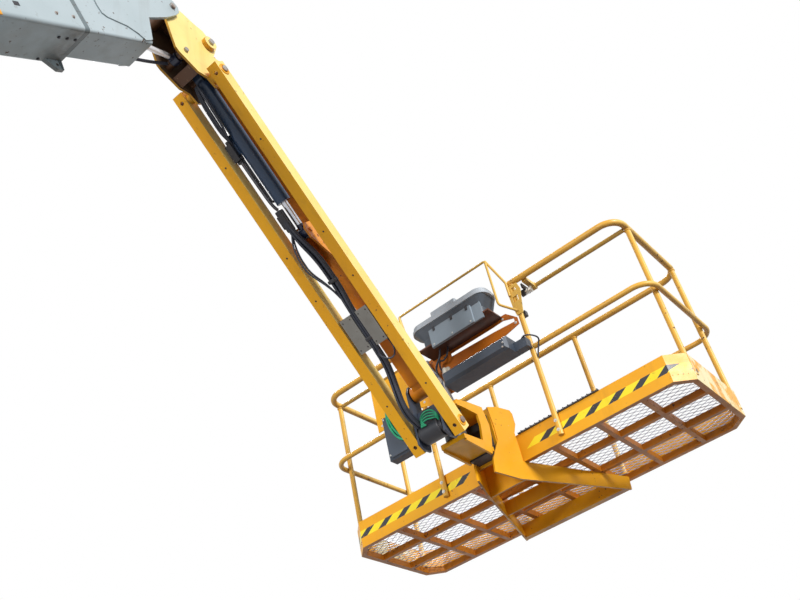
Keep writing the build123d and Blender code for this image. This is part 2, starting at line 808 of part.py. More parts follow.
# Dark block that joins the yoke to the platform's bracket.
YOKE_BLOCK = (
    (-250, 70),
    (-214, 70),
    (-200, 136),
    (-190, 217),
    (-214, 300),
    (-150, 300),
    (-150, 20),
    (-250, 20),
)
with BuildPart() as yoke_block:
    with BuildSketch(deck_side()):
        with BuildLine():
            Polyline(*YOKE_BLOCK, close=True)
        make_face()
    extrude(amount=YOKE_IN - PIN_GAP, both=True)
    add(rotator_yoke.part, mode=Mode.SUBTRACT)
    add(platform_bracket.part, mode=Mode.SUBTRACT)
yoke_block.part.label = "yoke_block"
export_step(yoke_block.part, "parts/yoke_block.step")

# Floor: a frame of bars, a sheet of mesh on it and the toe board round both.
CROSS_BARS = 7
CROSS_FIRST = -920
CROSS_STEP = 295
LONG_BARS = (300, 590)
BAR_W = 30
BAR_H = 40
CUT_SHARE = 2 - sqrt(2)


def floor_outline(inset):
    """Corner points of the floor, with its corners cut off, set in by a distance."""
    half = PLAT_L / 2 - inset
    near = inset
    far = PLAT_D - inset
    cut = CORNER - inset * CUT_SHARE
    return (
        (near + cut, -half),
        (far - cut, -half),
        (far, -half + cut),
        (far, half - cut),
        (far - cut, half),
        (near + cut, half),
        (near, half - cut),
        (near, -half + cut),
    )


with BuildPart() as floor_frame:
    with BuildSketch(DECK):
        with BuildLine():
            Polyline(*floor_outline(TOE_T), close=True)
        make_face()
        with BuildLine():
            Polyline(*floor_outline(TOE_T + BAR_W), close=True)
        make_face(mode=Mode.SUBTRACT)
        for index in range(CROSS_BARS):
            with Locations((PLAT_D / 2, CROSS_FIRST + index * CROSS_STEP)):
                Rectangle(PLAT_D - 2 * TOE_T - BAR_W, BAR_W)
        with Locations(*[(x, 0) for x in LONG_BARS]):
            Rectangle(BAR_W, PLAT_L - 2 * TOE_T - BAR_W)
    extrude(amount=BAR_H)
floor_frame.part.label = "floor_frame"
export_step(floor_frame.part, "parts/floor_frame.step")

with BuildPart() as floor_mesh:
    with BuildSketch(DECK.offset(BAR_H)):
        with BuildLine():
            Polyline(*floor_outline(TOE_T), close=True)
        make_face()
    extrude(amount=MESH_T)
floor_mesh.part.label = "floor_mesh"
export_step(floor_mesh.part, "parts/floor_mesh.step")

with BuildPart() as toe_board:
    with BuildSketch(DECK):
        with BuildLine():
            Polyline(*floor_outline(0), close=True)
        make_face()
        with BuildLine():
            Polyline(*floor_outline(TOE_T), close=True)
        make_face(mode=Mode.SUBTRACT)
    extrude(amount=TOE_H)
toe_board.part.label = "toe_board"
export_step(toe_board.part, "parts/toe_board.step")

# Rails: bent tubes round three sides and back to the console's posts. The top rail runs over
# the posts, the middle one round their outside.
MID_OUT = MID_R - TOE_T + WELD_GAP
POST_IN = TOE_T + POST_R
RAILS = (
    # name, height, tube radius, near run, end runs, far run, where its two ends stop
    ("top_rail", RAIL_H, RAIL_R, -POST_R, PLAT_L / 2 - POST_IN, PLAT_D - POST_IN, CONSOLE_Y - POST_R),
    ("mid_rail", MID_H, MID_R, -MID_OUT, PLAT_L / 2 + MID_OUT, PLAT_D + MID_OUT, CONSOLE_Y + POST_R + WELD_GAP),
)
for name, height, r, near, half, far, stop in RAILS:
    near_x = PLAT_X + near
    far_x = PLAT_X + far
    z = PLAT_Z + height
    with BuildPart() as rail:
        with BuildLine():
            FilletPolyline(
                (near_x, -stop, z),
                (near_x, -half, z),
                (far_x, -half, z),
                (far_x, half, z),
                (near_x, half, z),
                (near_x, stop, z),
                radius=RAIL_BEND,
            )
        with BuildSketch(Plane(origin=(near_x, -stop, z), z_dir=(0, -1, 0))):
            Circle(r)
        sweep()
    rail.part.label = name
    export_step(rail.part, "parts/" + name + ".step")

NEAR_FOOT = 30
FAR_POST_Y = 370
FLOOR_TOP = BAR_H + MESH_T
POSTS = (
    # name, x, y, foot
    ("near_right", -POST_R, -CONSOLE_Y, NEAR_FOOT),
    ("near_left", -POST_R, CONSOLE_Y, NEAR_FOOT),
    ("end_right_near", 136, -PLAT_L / 2 + POST_IN, FLOOR_TOP),
    ("end_right_far", 762, -PLAT_L / 2 + POST_IN, FLOOR_TOP),
    ("end_left_near", 122, PLAT_L / 2 - POST_IN, FLOOR_TOP),
    ("end_left_far", 762, PLAT_L / 2 - POST_IN, FLOOR_TOP),
    ("far_right", PLAT_D - POST_IN, -FAR_POST_Y, FLOOR_TOP),
    ("far_left", PLAT_D - POST_IN, FAR_POST_Y, FLOOR_TOP),
)
for name, x, y, foot in POSTS:
    with BuildPart() as post:
        with BuildSketch(DECK.offset(foot)):
            with Locations((x, y)):
                Circle(POST_R)
        extrude(amount=RAIL_H - RAIL_R - WELD_GAP - foot)
    post.part.label = "post_" + name
    export_step(post.part, "parts/post_" + name + ".step")

# Brackets on the near posts, each a plate with two windows. The left one sits on the panel.
HAND_X = 122
HAND_Y = 490
HAND_DROP = 14
HAND_H = RAIL_H - HAND_DROP
HAND_OUT = PLAT_L / 2 - POST_IN - RAIL_R - WELD_GAP
PLATE_FRONT = -2 * POST_R
PANEL_T = 4
RAIL_PLATE_T = 6
RAIL_PLATE = (
    # y, drop below the top rail's axis
    (404, 260),
    (450, 260),
    (462, 195),
    (482, 90),
    (468, 34),
    (403, 34),
    (392, 100),
    (394, 192),
)
WINDOWS = (
    ((410, 165), (450, 162), (452, 120), (412, 126)),
    ((420, 88), (454, 80), (446, 54), (424, 56)),
)
CLAMP_L = 34
CLAMP_R = 24
for name, side, under in (("left", 1, PANEL_T), ("right", -1, 0)):
    with BuildPart() as rail_bracket:
        with BuildSketch(
            Plane(
                origin=(PLAT_X + PLATE_FRONT - under, 0, PLAT_Z),
                x_dir=(0, side, 0),
                z_dir=(side, 0, 0),
            )
        ):
            with BuildLine():
                Polyline(*[(y, RAIL_H - drop) for y, drop in RAIL_PLATE], close=True)
            make_face()
            for window in WINDOWS:
                with BuildLine():
                    Polyline(*[(y, RAIL_H - drop) for y, drop in window], close=True)
                make_face(mode=Mode.SUBTRACT)
        extrude(amount=-side * RAIL_PLATE_T)
    rail_bracket.part.label = "rail_bracket_" + name
    export_step(rail_bracket.part, "parts/rail_bracket_" + name + ".step")

    # Inner hand rail, clamped behind the post and held by the end rail.
    start = (PLAT_X + HAND_X, side * HAND_Y, PLAT_Z + HAND_H)
    with BuildPart() as hand_rail:
        with BuildSketch(Plane(origin=start, x_dir=(1, 0, 0), z_dir=(0, side, 0))):
            Circle(THIN_R)
        extrude(amount=HAND_OUT - HAND_Y)
        with BuildSketch(Plane(origin=start, x_dir=(1, 0, 0), z_dir=(0, side, 0))):
            Circle(CLAMP_R)
        extrude(amount=CLAMP_L)
        with BuildSketch(Plane(origin=start, x_dir=(0, side, 0), z_dir=(-1, 0, 0))):
            with Locations((CLAMP_L / 2, 0)):
                Rectangle(CLAMP_L, CLAMP_R)
        extrude(amount=HAND_X + POST_R - RAIL_R - WELD_GAP)
    hand_rail.part.label = "hand_rail_" + name
    export_step(hand_rail.part, "parts/hand_rail_" + name + ".step")

# Console: panel with a slot, shelf, case, lid, lower box and guard.
PANEL = (
    # y towards -Y, height
    (400, 830),
    (400, 880),
    (330, 950),
    (-370, 950),
    (-370, 1010),
    (-800, 1010),
    (-800, 664),
    (-420, 664),
    (-360, 640),
    (80, 640),
    (160, 700),
    (260, 800),
)
SLOT = (
    (-120, 886),
    (-120, 908),
    (216, 908),
    (300, 912),
    (376, 886),
    (376, 862),
    (216, 874),
)
PANEL_PLANE = Plane(origin=(PLAT_X + PLATE_FRONT, 0, PLAT_Z), x_dir=(0, -1, 0), z_dir=(-1, 0, 0))
with BuildPart() as console_panel:
    with BuildSketch(PANEL_PLANE):
        with BuildLine():
            Polyline(*PANEL, close=True)
        make_face()
        with BuildLine():
            Polyline(*SLOT, close=True)
        make_face(mode=Mode.SUBTRACT)
    extrude(amount=PANEL_T)
console_panel.part.label = "console_panel"
export_step(console_panel.part, "parts/console_panel.step")

CONSOLE_BACK = PLATE_FRONT - PANEL_T
SHELF_Z = 930
SHELF_T = 10
SHELF_W = 160
SHELF_L = 560
SHELF_Y = -22
with BuildPart() as console_shelf:
    with BuildSketch(DECK.offset(SHELF_Z)):
        with Locations((CONSOLE_BACK - SHELF_W / 2, SHELF_Y)):
            Rectangle(SHELF_W, SHELF_L)
    extrude(amount=SHELF_T)
console_shelf.part.label = "console_shelf"
export_step(console_shelf.part, "parts/console_shelf.step")

CASE_Z = SHELF_Z + SHELF_T
LID_Z = 1064
CASE_D = 150
CASE_L = 480
CASE_BEND = 26
SKIRT_D = 186
SKIRT_L = 570
SKIRT_BEND = 50
SKIRT_H = 70
with BuildPart() as console_case:
    with BuildSketch(DECK.offset(CASE_Z)):
        with Locations((CONSOLE_BACK - CASE_D / 2, SHELF_Y)):
            RectangleRounded(CASE_D, CASE_L, CASE_BEND)
    extrude(amount=LID_Z - SKIRT_H - CASE_Z)
    with BuildSketch(DECK.offset(LID_Z - SKIRT_H)):
        with Locations((CONSOLE_BACK - CASE_D / 2, SHELF_Y)):
            RectangleRounded(CASE_D, CASE_L, CASE_BEND)
    with BuildSketch(DECK.offset(LID_Z)):
        with Locations((CONSOLE_BACK - SKIRT_D / 2, SHELF_Y)):
            RectangleRounded(SKIRT_D, SKIRT_L, SKIRT_BEND)
    loft()
console_case.part.label = "console_case"
export_step(console_case.part, "parts/console_case.step")

# Tray on the case's near face, between the case and the lower box.
TRAY_D = 22
TRAY_L = 340
TRAY_H = 130
TRAY_Y = -24
STEP_L = 66
STEP_D = 12
with BuildPart() as console_tray:
    with BuildSketch(DECK.offset(LID_Z - SKIRT_H - TRAY_H + SKIRT_H / 2)):
        with Locations((CONSOLE_BACK - CASE_D - TRAY_D / 2, TRAY_Y)):
            RectangleRounded(TRAY_D, TRAY_L, STEP_D / 2)
        with Locations((CONSOLE_BACK - CASE_D - STEP_D / 2, TRAY_Y - (TRAY_L + STEP_L) / 2)):
            Rectangle(STEP_D, STEP_L)
    extrude(amount=TRAY_H)
    add(console_case.part, mode=Mode.SUBTRACT)
    add(console_shelf.part, mode=Mode.SUBTRACT)
console_tray.part.label = "console_tray"
export_step(console_tray.part, "parts/console_tray.step")

LID_D = 196
LID_L = 604
LID_BEND = 80
LIP_H = 18
LIP_IN = 10
LID_H = 44
BLOCK_D = 100
BLOCK_L = 200
BLOCK_H = 60
BLOCK_Y = 12
BLOCK_BEND = 10
with BuildPart() as console_lid:
    with BuildSketch(DECK.offset(LID_Z)):
        with Locations((CONSOLE_BACK - LID_D / 2, SHELF_Y)):
            RectangleRounded(LID_D, LID_L, LID_BEND)
    extrude(amount=LIP_H)
    with BuildSketch(DECK.offset(LID_Z)):
        with Locations((CONSOLE_BACK - LID_D / 2, SHELF_Y)):
            RectangleRounded(LID_D - 2 * LIP_IN, LID_L - 2 * LIP_IN, LID_BEND - LIP_IN)
    extrude(amount=LID_H)
    with BuildSketch(DECK.offset(LID_Z)):
        with Locations((CONSOLE_BACK - LID_D / 2, BLOCK_Y)):
            RectangleRounded(BLOCK_D, BLOCK_L, BLOCK_BEND)
    extrude(amount=LID_H + BLOCK_H)
console_lid.part.label = "console_lid"
export_step(console_lid.part, "parts/console_lid.step")

# Lower box on the panel, with a flap at its right end.
TOOL_Z = 622
TOOL_H = 92
TOOL_D = 146
TOOL_BEVEL = 18
TOOL_RIGHT = -345
TOOL_LEFT = 150
FLAP_L = 105
FLAP_D = 60
FLAP_H = 62
with BuildPart() as tool_box:
    with BuildSketch(PANEL_PLANE.offset(PANEL_T)):
        with Locations(((-TOOL_LEFT - TOOL_RIGHT) / 2, TOOL_Z + TOOL_H / 2)):
            Rectangle(TOOL_LEFT - TOOL_RIGHT, TOOL_H)
    extrude(amount=TOOL_D)
    chamfer(tool_box.edges().group_by(Axis.X)[0], length=TOOL_BEVEL)
    with BuildSketch(PANEL_PLANE.offset(PANEL_T)):
        with Locations((-TOOL_RIGHT + FLAP_L / 2 - TOOL_BEVEL, TOOL_Z + FLAP_H / 2)):
            Rectangle(FLAP_L, FLAP_H)
    extrude(amount=FLAP_D)
tool_box.part.label = "tool_box"
export_step(tool_box.part, "parts/tool_box.step")

# Box hung on the panel's left part.
SIDE_BOX_Y = 612
SIDE_BOX_W = 190
SIDE_BOX_Z = 384
SIDE_BOX_H = 316
SIDE_BOX_D = 84
SIDE_BOX_BEVEL = 14
with BuildPart() as side_box:
    with BuildSketch(PANEL_PLANE.offset(PANEL_T)):
        with Locations((-SIDE_BOX_Y, SIDE_BOX_Z + SIDE_BOX_H / 2)):
            Rectangle(SIDE_BOX_W, SIDE_BOX_H)
    extrude(amount=SIDE_BOX_D)
    chamfer(side_box.edges().group_by(Axis.X)[0], length=SIDE_BOX_BEVEL)
side_box.part.label = "side_box"
export_step(side_box.part, "parts/side_box.step")

# Guard over the console: a bent tube on each side up to a bar across, each with a stay.
GUARD_R = 8
GUARD_Z = 1345
GUARD_X = -110
GUARD_RIGHT = -338
GUARD_LEFT = 395
GUARD_BEND = 40
GUARD_CORNER = 16
KNEE_Z = 985
FOOT_Z = 915
STAY_Y = 402
STAY_FOOT_Z = 1040
STAY_KNEE_Z = 1150
STAY_BEND = 60
RIGHT_FRONT = PLATE_FRONT - RAIL_PLATE_T - GUARD_R - WELD_GAP
LEFT_FRONT = RIGHT_FRONT - PANEL_T
STAYS = (
    # x and y of the foot, y of the tube
    (RIGHT_FRONT, -STAY_Y, GUARD_RIGHT),
    (LEFT_FRONT, STAY_Y, GUARD_LEFT),
)


def on_deck(x, y, z):
    """Point given from the platform's near edge and the underside of its floor."""
    return (PLAT_X + x, y, PLAT_Z + z)


with BuildPart() as console_guard:
    with BuildLine() as guard_line:
        FilletPolyline(
            on_deck(RIGHT_FRONT, -CONSOLE_Y, FOOT_Z),
            on_deck(GUARD_X, GUARD_RIGHT, KNEE_Z),
            on_deck(GUARD_X, GUARD_RIGHT, GUARD_Z),
            on_deck(GUARD_X, GUARD_LEFT, GUARD_Z),
            on_deck(GUARD_X, GUARD_LEFT, KNEE_Z),
            on_deck(LEFT_FRONT, CONSOLE_Y, FOOT_Z),
            radius=(GUARD_BEND, GUARD_CORNER, GUARD_CORNER, GUARD_BEND / 2),
        )
    with BuildSketch(Plane(origin=guard_line.line @ 0, z_dir=guard_line.line % 0)):
        Circle(GUARD_R)
    sweep()
    for foot_x, stay_y, tube_y in STAYS:
        with BuildLine() as stay_line:
            FilletPolyline(
                on_deck(foot_x, stay_y, STAY_FOOT_Z),
                on_deck(foot_x, stay_y, STAY_KNEE_Z),
                on_deck(GUARD_X, tube_y, GUARD_Z),
                radius=STAY_BEND,
            )
        with BuildSketch(Plane(origin=stay_line.line @ 0, z_dir=stay_line.line % 0)):
            Circle(GUARD_R)
        sweep(path=stay_line.line)
console_guard.part.label = "console_guard"
export_step(console_guard.part, "parts/console_guard.step")
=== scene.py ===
"""Looks of a boom lift's boom end, jib and work platform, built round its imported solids."""

import json
import math

import bpy
import numpy as np
from mathutils import Quaternion, Vector
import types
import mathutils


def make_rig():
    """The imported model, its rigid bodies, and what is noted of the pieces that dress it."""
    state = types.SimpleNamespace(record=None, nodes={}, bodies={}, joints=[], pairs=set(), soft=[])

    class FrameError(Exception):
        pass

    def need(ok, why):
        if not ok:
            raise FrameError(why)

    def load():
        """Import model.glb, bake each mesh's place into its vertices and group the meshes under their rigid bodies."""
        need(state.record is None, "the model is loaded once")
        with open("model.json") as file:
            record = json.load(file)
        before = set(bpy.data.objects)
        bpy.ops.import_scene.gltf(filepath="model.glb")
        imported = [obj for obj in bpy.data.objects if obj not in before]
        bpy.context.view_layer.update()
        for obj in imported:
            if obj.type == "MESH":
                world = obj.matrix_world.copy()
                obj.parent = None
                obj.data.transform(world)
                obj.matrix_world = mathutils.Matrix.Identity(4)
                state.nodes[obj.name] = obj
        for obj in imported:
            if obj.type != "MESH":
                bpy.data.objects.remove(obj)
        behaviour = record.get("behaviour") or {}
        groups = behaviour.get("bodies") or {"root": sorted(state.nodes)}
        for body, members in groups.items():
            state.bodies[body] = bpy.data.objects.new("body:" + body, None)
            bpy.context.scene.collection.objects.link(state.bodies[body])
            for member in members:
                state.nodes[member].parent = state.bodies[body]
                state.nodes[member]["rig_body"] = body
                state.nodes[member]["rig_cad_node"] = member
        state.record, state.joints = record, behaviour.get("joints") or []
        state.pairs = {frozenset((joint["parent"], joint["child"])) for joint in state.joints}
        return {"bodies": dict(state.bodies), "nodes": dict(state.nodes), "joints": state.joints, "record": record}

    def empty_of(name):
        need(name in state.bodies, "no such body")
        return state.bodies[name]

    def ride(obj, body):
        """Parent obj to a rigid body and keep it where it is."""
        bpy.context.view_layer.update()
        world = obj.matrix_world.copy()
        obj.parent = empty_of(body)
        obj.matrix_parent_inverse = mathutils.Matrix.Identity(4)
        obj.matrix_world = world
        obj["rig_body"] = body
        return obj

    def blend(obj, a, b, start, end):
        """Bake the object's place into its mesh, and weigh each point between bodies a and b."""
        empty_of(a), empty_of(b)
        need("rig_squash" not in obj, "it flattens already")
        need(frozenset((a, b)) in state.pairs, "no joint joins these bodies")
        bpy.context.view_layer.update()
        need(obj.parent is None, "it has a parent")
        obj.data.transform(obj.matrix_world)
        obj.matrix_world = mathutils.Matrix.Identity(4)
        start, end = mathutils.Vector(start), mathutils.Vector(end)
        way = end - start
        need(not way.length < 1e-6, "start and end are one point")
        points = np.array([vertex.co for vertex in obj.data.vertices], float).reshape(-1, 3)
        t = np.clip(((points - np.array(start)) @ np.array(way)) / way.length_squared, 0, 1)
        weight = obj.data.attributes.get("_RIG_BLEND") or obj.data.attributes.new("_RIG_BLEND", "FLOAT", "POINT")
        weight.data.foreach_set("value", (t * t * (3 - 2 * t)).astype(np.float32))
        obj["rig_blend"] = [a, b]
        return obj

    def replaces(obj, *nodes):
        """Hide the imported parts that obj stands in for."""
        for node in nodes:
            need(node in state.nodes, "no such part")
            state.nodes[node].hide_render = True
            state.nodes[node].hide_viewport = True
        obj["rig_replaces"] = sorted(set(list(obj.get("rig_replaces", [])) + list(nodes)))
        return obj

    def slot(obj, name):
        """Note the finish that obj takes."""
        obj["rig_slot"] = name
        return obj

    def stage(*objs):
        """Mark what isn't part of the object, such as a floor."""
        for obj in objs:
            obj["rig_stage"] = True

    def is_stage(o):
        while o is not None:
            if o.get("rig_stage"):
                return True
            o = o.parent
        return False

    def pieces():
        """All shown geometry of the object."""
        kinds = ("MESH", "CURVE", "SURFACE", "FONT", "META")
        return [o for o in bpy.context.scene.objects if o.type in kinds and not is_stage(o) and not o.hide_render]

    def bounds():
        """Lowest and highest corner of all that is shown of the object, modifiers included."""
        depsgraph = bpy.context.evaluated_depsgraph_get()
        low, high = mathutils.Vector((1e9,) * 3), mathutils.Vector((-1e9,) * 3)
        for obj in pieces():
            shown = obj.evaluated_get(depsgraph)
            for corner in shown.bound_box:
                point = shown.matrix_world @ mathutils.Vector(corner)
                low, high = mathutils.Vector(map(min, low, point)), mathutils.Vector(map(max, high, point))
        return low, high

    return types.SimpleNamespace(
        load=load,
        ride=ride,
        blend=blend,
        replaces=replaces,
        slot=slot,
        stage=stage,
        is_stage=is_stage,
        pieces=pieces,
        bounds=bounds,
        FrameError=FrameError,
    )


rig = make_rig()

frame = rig.load()
cad_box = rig.bounds()
scene = bpy.context.scene

# Camera: at floor level, looking up at the platform from its right and behind.
EYE = (-0.505068, -2.3252, -3.291912)
TURN = (0.36092, 0.826992, -0.341904, -0.262532)
FLOOR_Z = -3.318

lens = bpy.data.cameras.new("view")
lens.lens = 42.02
lens.sensor_width = 36
lens.clip_end = 200
camera = bpy.data.objects.new("view", lens)
camera.location = EYE
camera.rotation_mode = "QUATERNION"
camera.rotation_quaternion = Quaternion(TURN)
scene.collection.objects.link(camera)
scene.camera = camera
scene.view_settings.view_transform = "Standard"


# ---- shader maths
class Value:
    """A number, colour or vector socket of one material; operators on it add Math nodes."""

    def __init__(self, look, socket):
        self.look = look
        self.socket = socket

    def maths(self, operation, *others, swap=False):
        terms = [self, *others]
        if swap:
            terms.reverse()
        return self.look.node("ShaderNodeMath", {"operation": operation}, *terms)

    def __add__(self, other):
        return self.maths("ADD", other)

    def __sub__(self, other):
        return self.maths("SUBTRACT", other)

    def __rsub__(self, other):
        return self.maths("SUBTRACT", other, swap=True)

    def __mul__(self, other):
        return self.maths("MULTIPLY", other)

    def __gt__(self, other):
        return self.maths("GREATER_THAN", other)

    def __lt__(self, other):
        return self.maths("LESS_THAN", other)

    def __mod__(self, other):
        return self.maths("FLOORED_MODULO", other)

    def __abs__(self):
        return self.maths("ABSOLUTE")


class Look:
    """A material in the making: its nodes, its coordinates and its shader."""

    def __init__(self, name, **uniform):
        self.material = bpy.data.materials.new(name)
        self.material.use_nodes = True
        self.tree = self.material.node_tree
        self.shader = self.tree.nodes["Principled BSDF"]
        for socket, value in uniform.items():
            self.shader.inputs[socket.replace("_", " ")].default_value = value
        self.place = self.node("ShaderNodeTexCoord", {}, out="Object")

    def node(self, kind, settings, *values, out=None, **named):
        """A node of any kind: settings first, then its sockets in order or by name."""
        made = self.tree.nodes.new(kind)
        for key, value in settings.items():
            setattr(made, key, value)
        pairs = list(zip(made.inputs, values))
        pairs += [(made.inputs[key.replace("_", " ")], value) for key, value in named.items()]
        for socket, value in pairs:
            if isinstance(value, Value):
                self.tree.links.new(value.socket, socket)
            else:
                socket.default_value = value
        return Value(self, made.outputs[out] if out else made.outputs[0])

    def noise(self, scale, detail=4, rough=0.55, stretch=(1, 1, 1)):
        place = self.node("ShaderNodeMapping", {}, self.place, Scale=stretch)
        return self.node("ShaderNodeTexNoise", {}, Vector=place, Scale=scale, Detail=detail, Roughness=rough)

    def ramp(self, value, low, high, to_low=0.0, to_high=1.0):
        """The value taken from low to high as a straight line from to_low to to_high, held beyond."""
        return self.node("ShaderNodeMapRange", {}, value, low, high, to_low, to_high)

    def axis(self, letter):
        return self.node("ShaderNodeSeparateXYZ", {}, self.place, out=letter)

    def facing(self, letter):
        """One axis of the solid's own normal, which turns with its body."""
        normal = self.node("ShaderNodeTexCoord", {}, out="Normal")
        return self.node("ShaderNodeSeparateXYZ", {}, normal, out=letter)

    def mix(self, share, first, second):
        """Colour mix; share 0 gives the first colour, 1 the second."""
        made = self.tree.nodes.new("ShaderNodeMix")
        made.data_type = "RGBA"
        for socket, value in ((made.inputs[0], share), (made.inputs[6], first), (made.inputs[7], second)):
            if isinstance(value, Value):
                self.tree.links.new(value.socket, socket)
            else:
                socket.default_value = value if isinstance(value, float) else (*value, 1)
        return Value(self, made.outputs[2])

    def edges(self, width):
        """1 along the solid's corners, where a rounded normal turns away from the flat one."""
        soft = self.node("ShaderNodeBevel", {"samples": 4}, width)
        flat = self.node("ShaderNodeNewGeometry", {}, out="Normal")
        turn = self.node("ShaderNodeVectorMath", {"operation": "DOT_PRODUCT"}, soft, flat, out="Value")
        return self.ramp(turn, 0.985, 0.86)

    def to(self, socket, value):
        self.tree.links.new(value.socket, self.shader.inputs[socket])

    def bump(self, height, distance, strength):
        self.to("Normal", self.node("ShaderNodeBump", {}, Height=height, Distance=distance, Strength=strength))


def painted(
    name, main, shade, rust, coat=0.6, chips=0.5, rough=0.42, extra=None, underside_shade_and_grime=0.5, painted_highlight=0.0, rub=0.7
):
    """Worn machine paint: a colour that drifts, painted shade with some grime on downward faces, a painted
    highlight on faces towards -Y, chips, scratches and rust, fine orange peel.

    rub is how bare the solid's corners are; a tube has none.
    """
    look = Look(name, Coat_Weight=coat * 0.35, Coat_Roughness=0.25, Specular_IOR_Level=0.3)
    drift = look.ramp(look.noise(2.2, 3), 0.35, 0.7)
    colour = look.mix(drift, main, shade)
    # Faces towards -Y turn paler in patches: a painted highlight of their sunlit side.
    if painted_highlight:
        highlight_patches = look.ramp(look.facing("Y"), -0.6, -0.95) * look.ramp(look.noise(3, 3), 0.2, 0.6, 0.6, 1.0)
        colour = look.mix(highlight_patches * painted_highlight, colour, (0.96, 0.80, 0.30))
    if extra:
        colour = extra(look, colour)
    # Downward faces darken towards the rust colour in patches: painted shade, with some grime.
    shade_and_grime_below = look.ramp(look.facing("Z"), -0.35, -0.95)
    colour = look.mix(shade_and_grime_below * look.ramp(look.noise(6, 6, 0.65), 0.3, 0.62) * underside_shade_and_grime, colour, rust)
    streak = look.ramp(look.noise(7, 5, 0.6, (1, 1, 0.12)), 0.56, 0.78)
    colour = look.mix(streak * 0.3, colour, rust)
    spots = look.ramp(look.noise(38, 3), 0.68 - 0.04 * chips, 0.72 - 0.04 * chips)
    worn = spots * look.ramp(look.noise(3.1, 2), 0.45, 0.62)
    scratch = look.ramp(look.noise(24, 2, 0.5, (0.25, 3, 3)), 0.7, 0.74) * look.ramp(look.noise(4, 2), 0.5, 0.6)
    colour = look.mix(scratch * 0.5, colour, tuple(0.55 * c + 0.18 for c in main))
    bare = worn
    if rub:
        rubbed = look.edges(0.004) * look.ramp(look.noise(11, 4, 0.7), 0.45, 0.62)
        bare = (worn + rubbed * rub).maths("MINIMUM", 1.0)
    colour = look.mix(bare, colour, (0.085, 0.045, 0.025))
    look.to("Base Color", colour)
    look.to("Roughness", look.ramp(look.noise(14, 4), 0.3, 0.7, rough - 0.08, rough + 0.16) + bare * 0.3)
    look.bump(look.noise(160, 2) * 0.12 - bare, 0.0006, 0.35)
    return look.material


def striped(look, colour):
    """Hazard band round the toe board's outside: slanted dark blocks between yellow ones.

    A block repeats every PITCH along Y and leans by LEAN times the height over the band's middle. The board's
    end, on the right, is painted pale in patches, a painted highlight of its sunlit face, with dark chips.
    """
    along = look.axis("Y") * 1000 + (look.axis("Z") - BAND_FOOT - BAND_H / 2) * (1000 * LEAN)
    phase = (along + FIRST_BLOCK + BLOCK / 2) % PITCH
    dark = (phase < BLOCK) * 1.0
    height = look.axis("Z")
    band = (height > BAND_FOOT) * (height < BAND_FOOT + BAND_H)
    band = band * (look.facing("X") < -0.3) * (look.axis("X") < NEAR_BOARD)
    side = (along < BRACKET_RIGHT).maths("MAXIMUM", along > BRACKET_LEFT)
    worn = look.ramp(look.noise(45, 4, 0.7), 0.30, 0.36)
    tape = look.mix(dark, (0.90, 0.70, 0.02), (0.028, 0.030, 0.036))
    # The board's end faces -Y: its pale patches are a painted highlight, its dark ones chips.
    end = look.ramp(look.facing("Y"), -0.8, -0.95)
    colour = look.mix(end * look.ramp(look.noise(8, 4, 0.6), 0.44, 0.52), colour, (0.82, 0.70, 0.38))
    colour = look.mix(end * look.ramp(look.noise(19, 4, 0.7), 0.60, 0.64), colour, (0.16, 0.07, 0.02))
    return look.mix(band * side * worn, colour, tape)


def front_band(look, colour):
    """Painted shadow of the recess behind the outer boom's front edge, and the belly darkened in patches towards that
    edge.
    """
    along = look.axis("X") * BOOM_X + look.axis("Z") * BOOM_Z
    band = (along > RECESS) * (along < BOOM_END)
    belly = look.ramp(look.facing("Z"), -0.3, -0.8)
    belly_darkening = look.ramp(along, BELLY_DARK_FROM, RECESS) * belly * look.ramp(look.noise(7, 5, 0.65), 0.25, 0.6)
    colour = look.mix(belly_darkening * 0.9, colour, (0.075, 0.065, 0.055))
    # Painted shadow: a dark slate band where the recess's shade falls.
    return look.mix(band * 0.8, colour, (0.07, 0.10, 0.11))


def shade_between_plates(look, colour):
    """Knuckle's faces between its two plates: painted shade, dark brown."""
    inside = look.ramp(abs(look.axis("Y")), PLATE_INSIDE + 0.001, PLATE_INSIDE - 0.001)
    return look.mix(inside * 0.93, colour, (0.050, 0.018, 0.022))


def unshaded_left(look, colour):
    """Console panel's left part, away from the boxes' shade: the plain orange, out of the panel's painted shade."""
    return look.mix(look.ramp(look.axis("Y"), 0.30, 0.40), colour, (0.84, 0.39, 0.006))


def metal(name, colour, rough, rust=0.0, painted_end=None):
    """Bare or plated steel, with fine grain, darker stains and some rust.

    painted_end is a point and a reach in metres: nearer to it than that, the steel is painted.
    """
    look = Look(name)
    grainy = look.noise(60, 4, 0.6)
    dark = tuple(c * 0.55 for c in colour)
    shade = look.mix(look.ramp(look.noise(6, 4), 0.4, 0.75) * 0.5, colour, dark)
    brown = look.ramp(look.noise(17, 5, 0.7), 0.62 - 0.25 * rust, 0.72 - 0.2 * rust) * min(1.0, 0.25 + rust)
    shade = look.mix(brown, shade, (0.14, 0.055, 0.02))
    metallic = 1.0 - brown * 0.8
    if painted_end:
        spot, reach = painted_end
        far = look.node("ShaderNodeVectorMath", {"operation": "DISTANCE"}, look.place, spot, out="Value")
        paint = (far < reach) * 1.0
        shade = look.mix(paint, shade, (0.016, 0.020, 0.045))
        metallic = metallic * (1 - paint)
    look.to("Base Color", shade)
    look.to("Metallic", metallic)
    look.to("Roughness", look.ramp(grainy, 0.3, 0.7, rough - 0.06, rough + 0.12) + brown * 0.3)
    look.bump(grainy, 0.0004, 0.25)
    return look.material


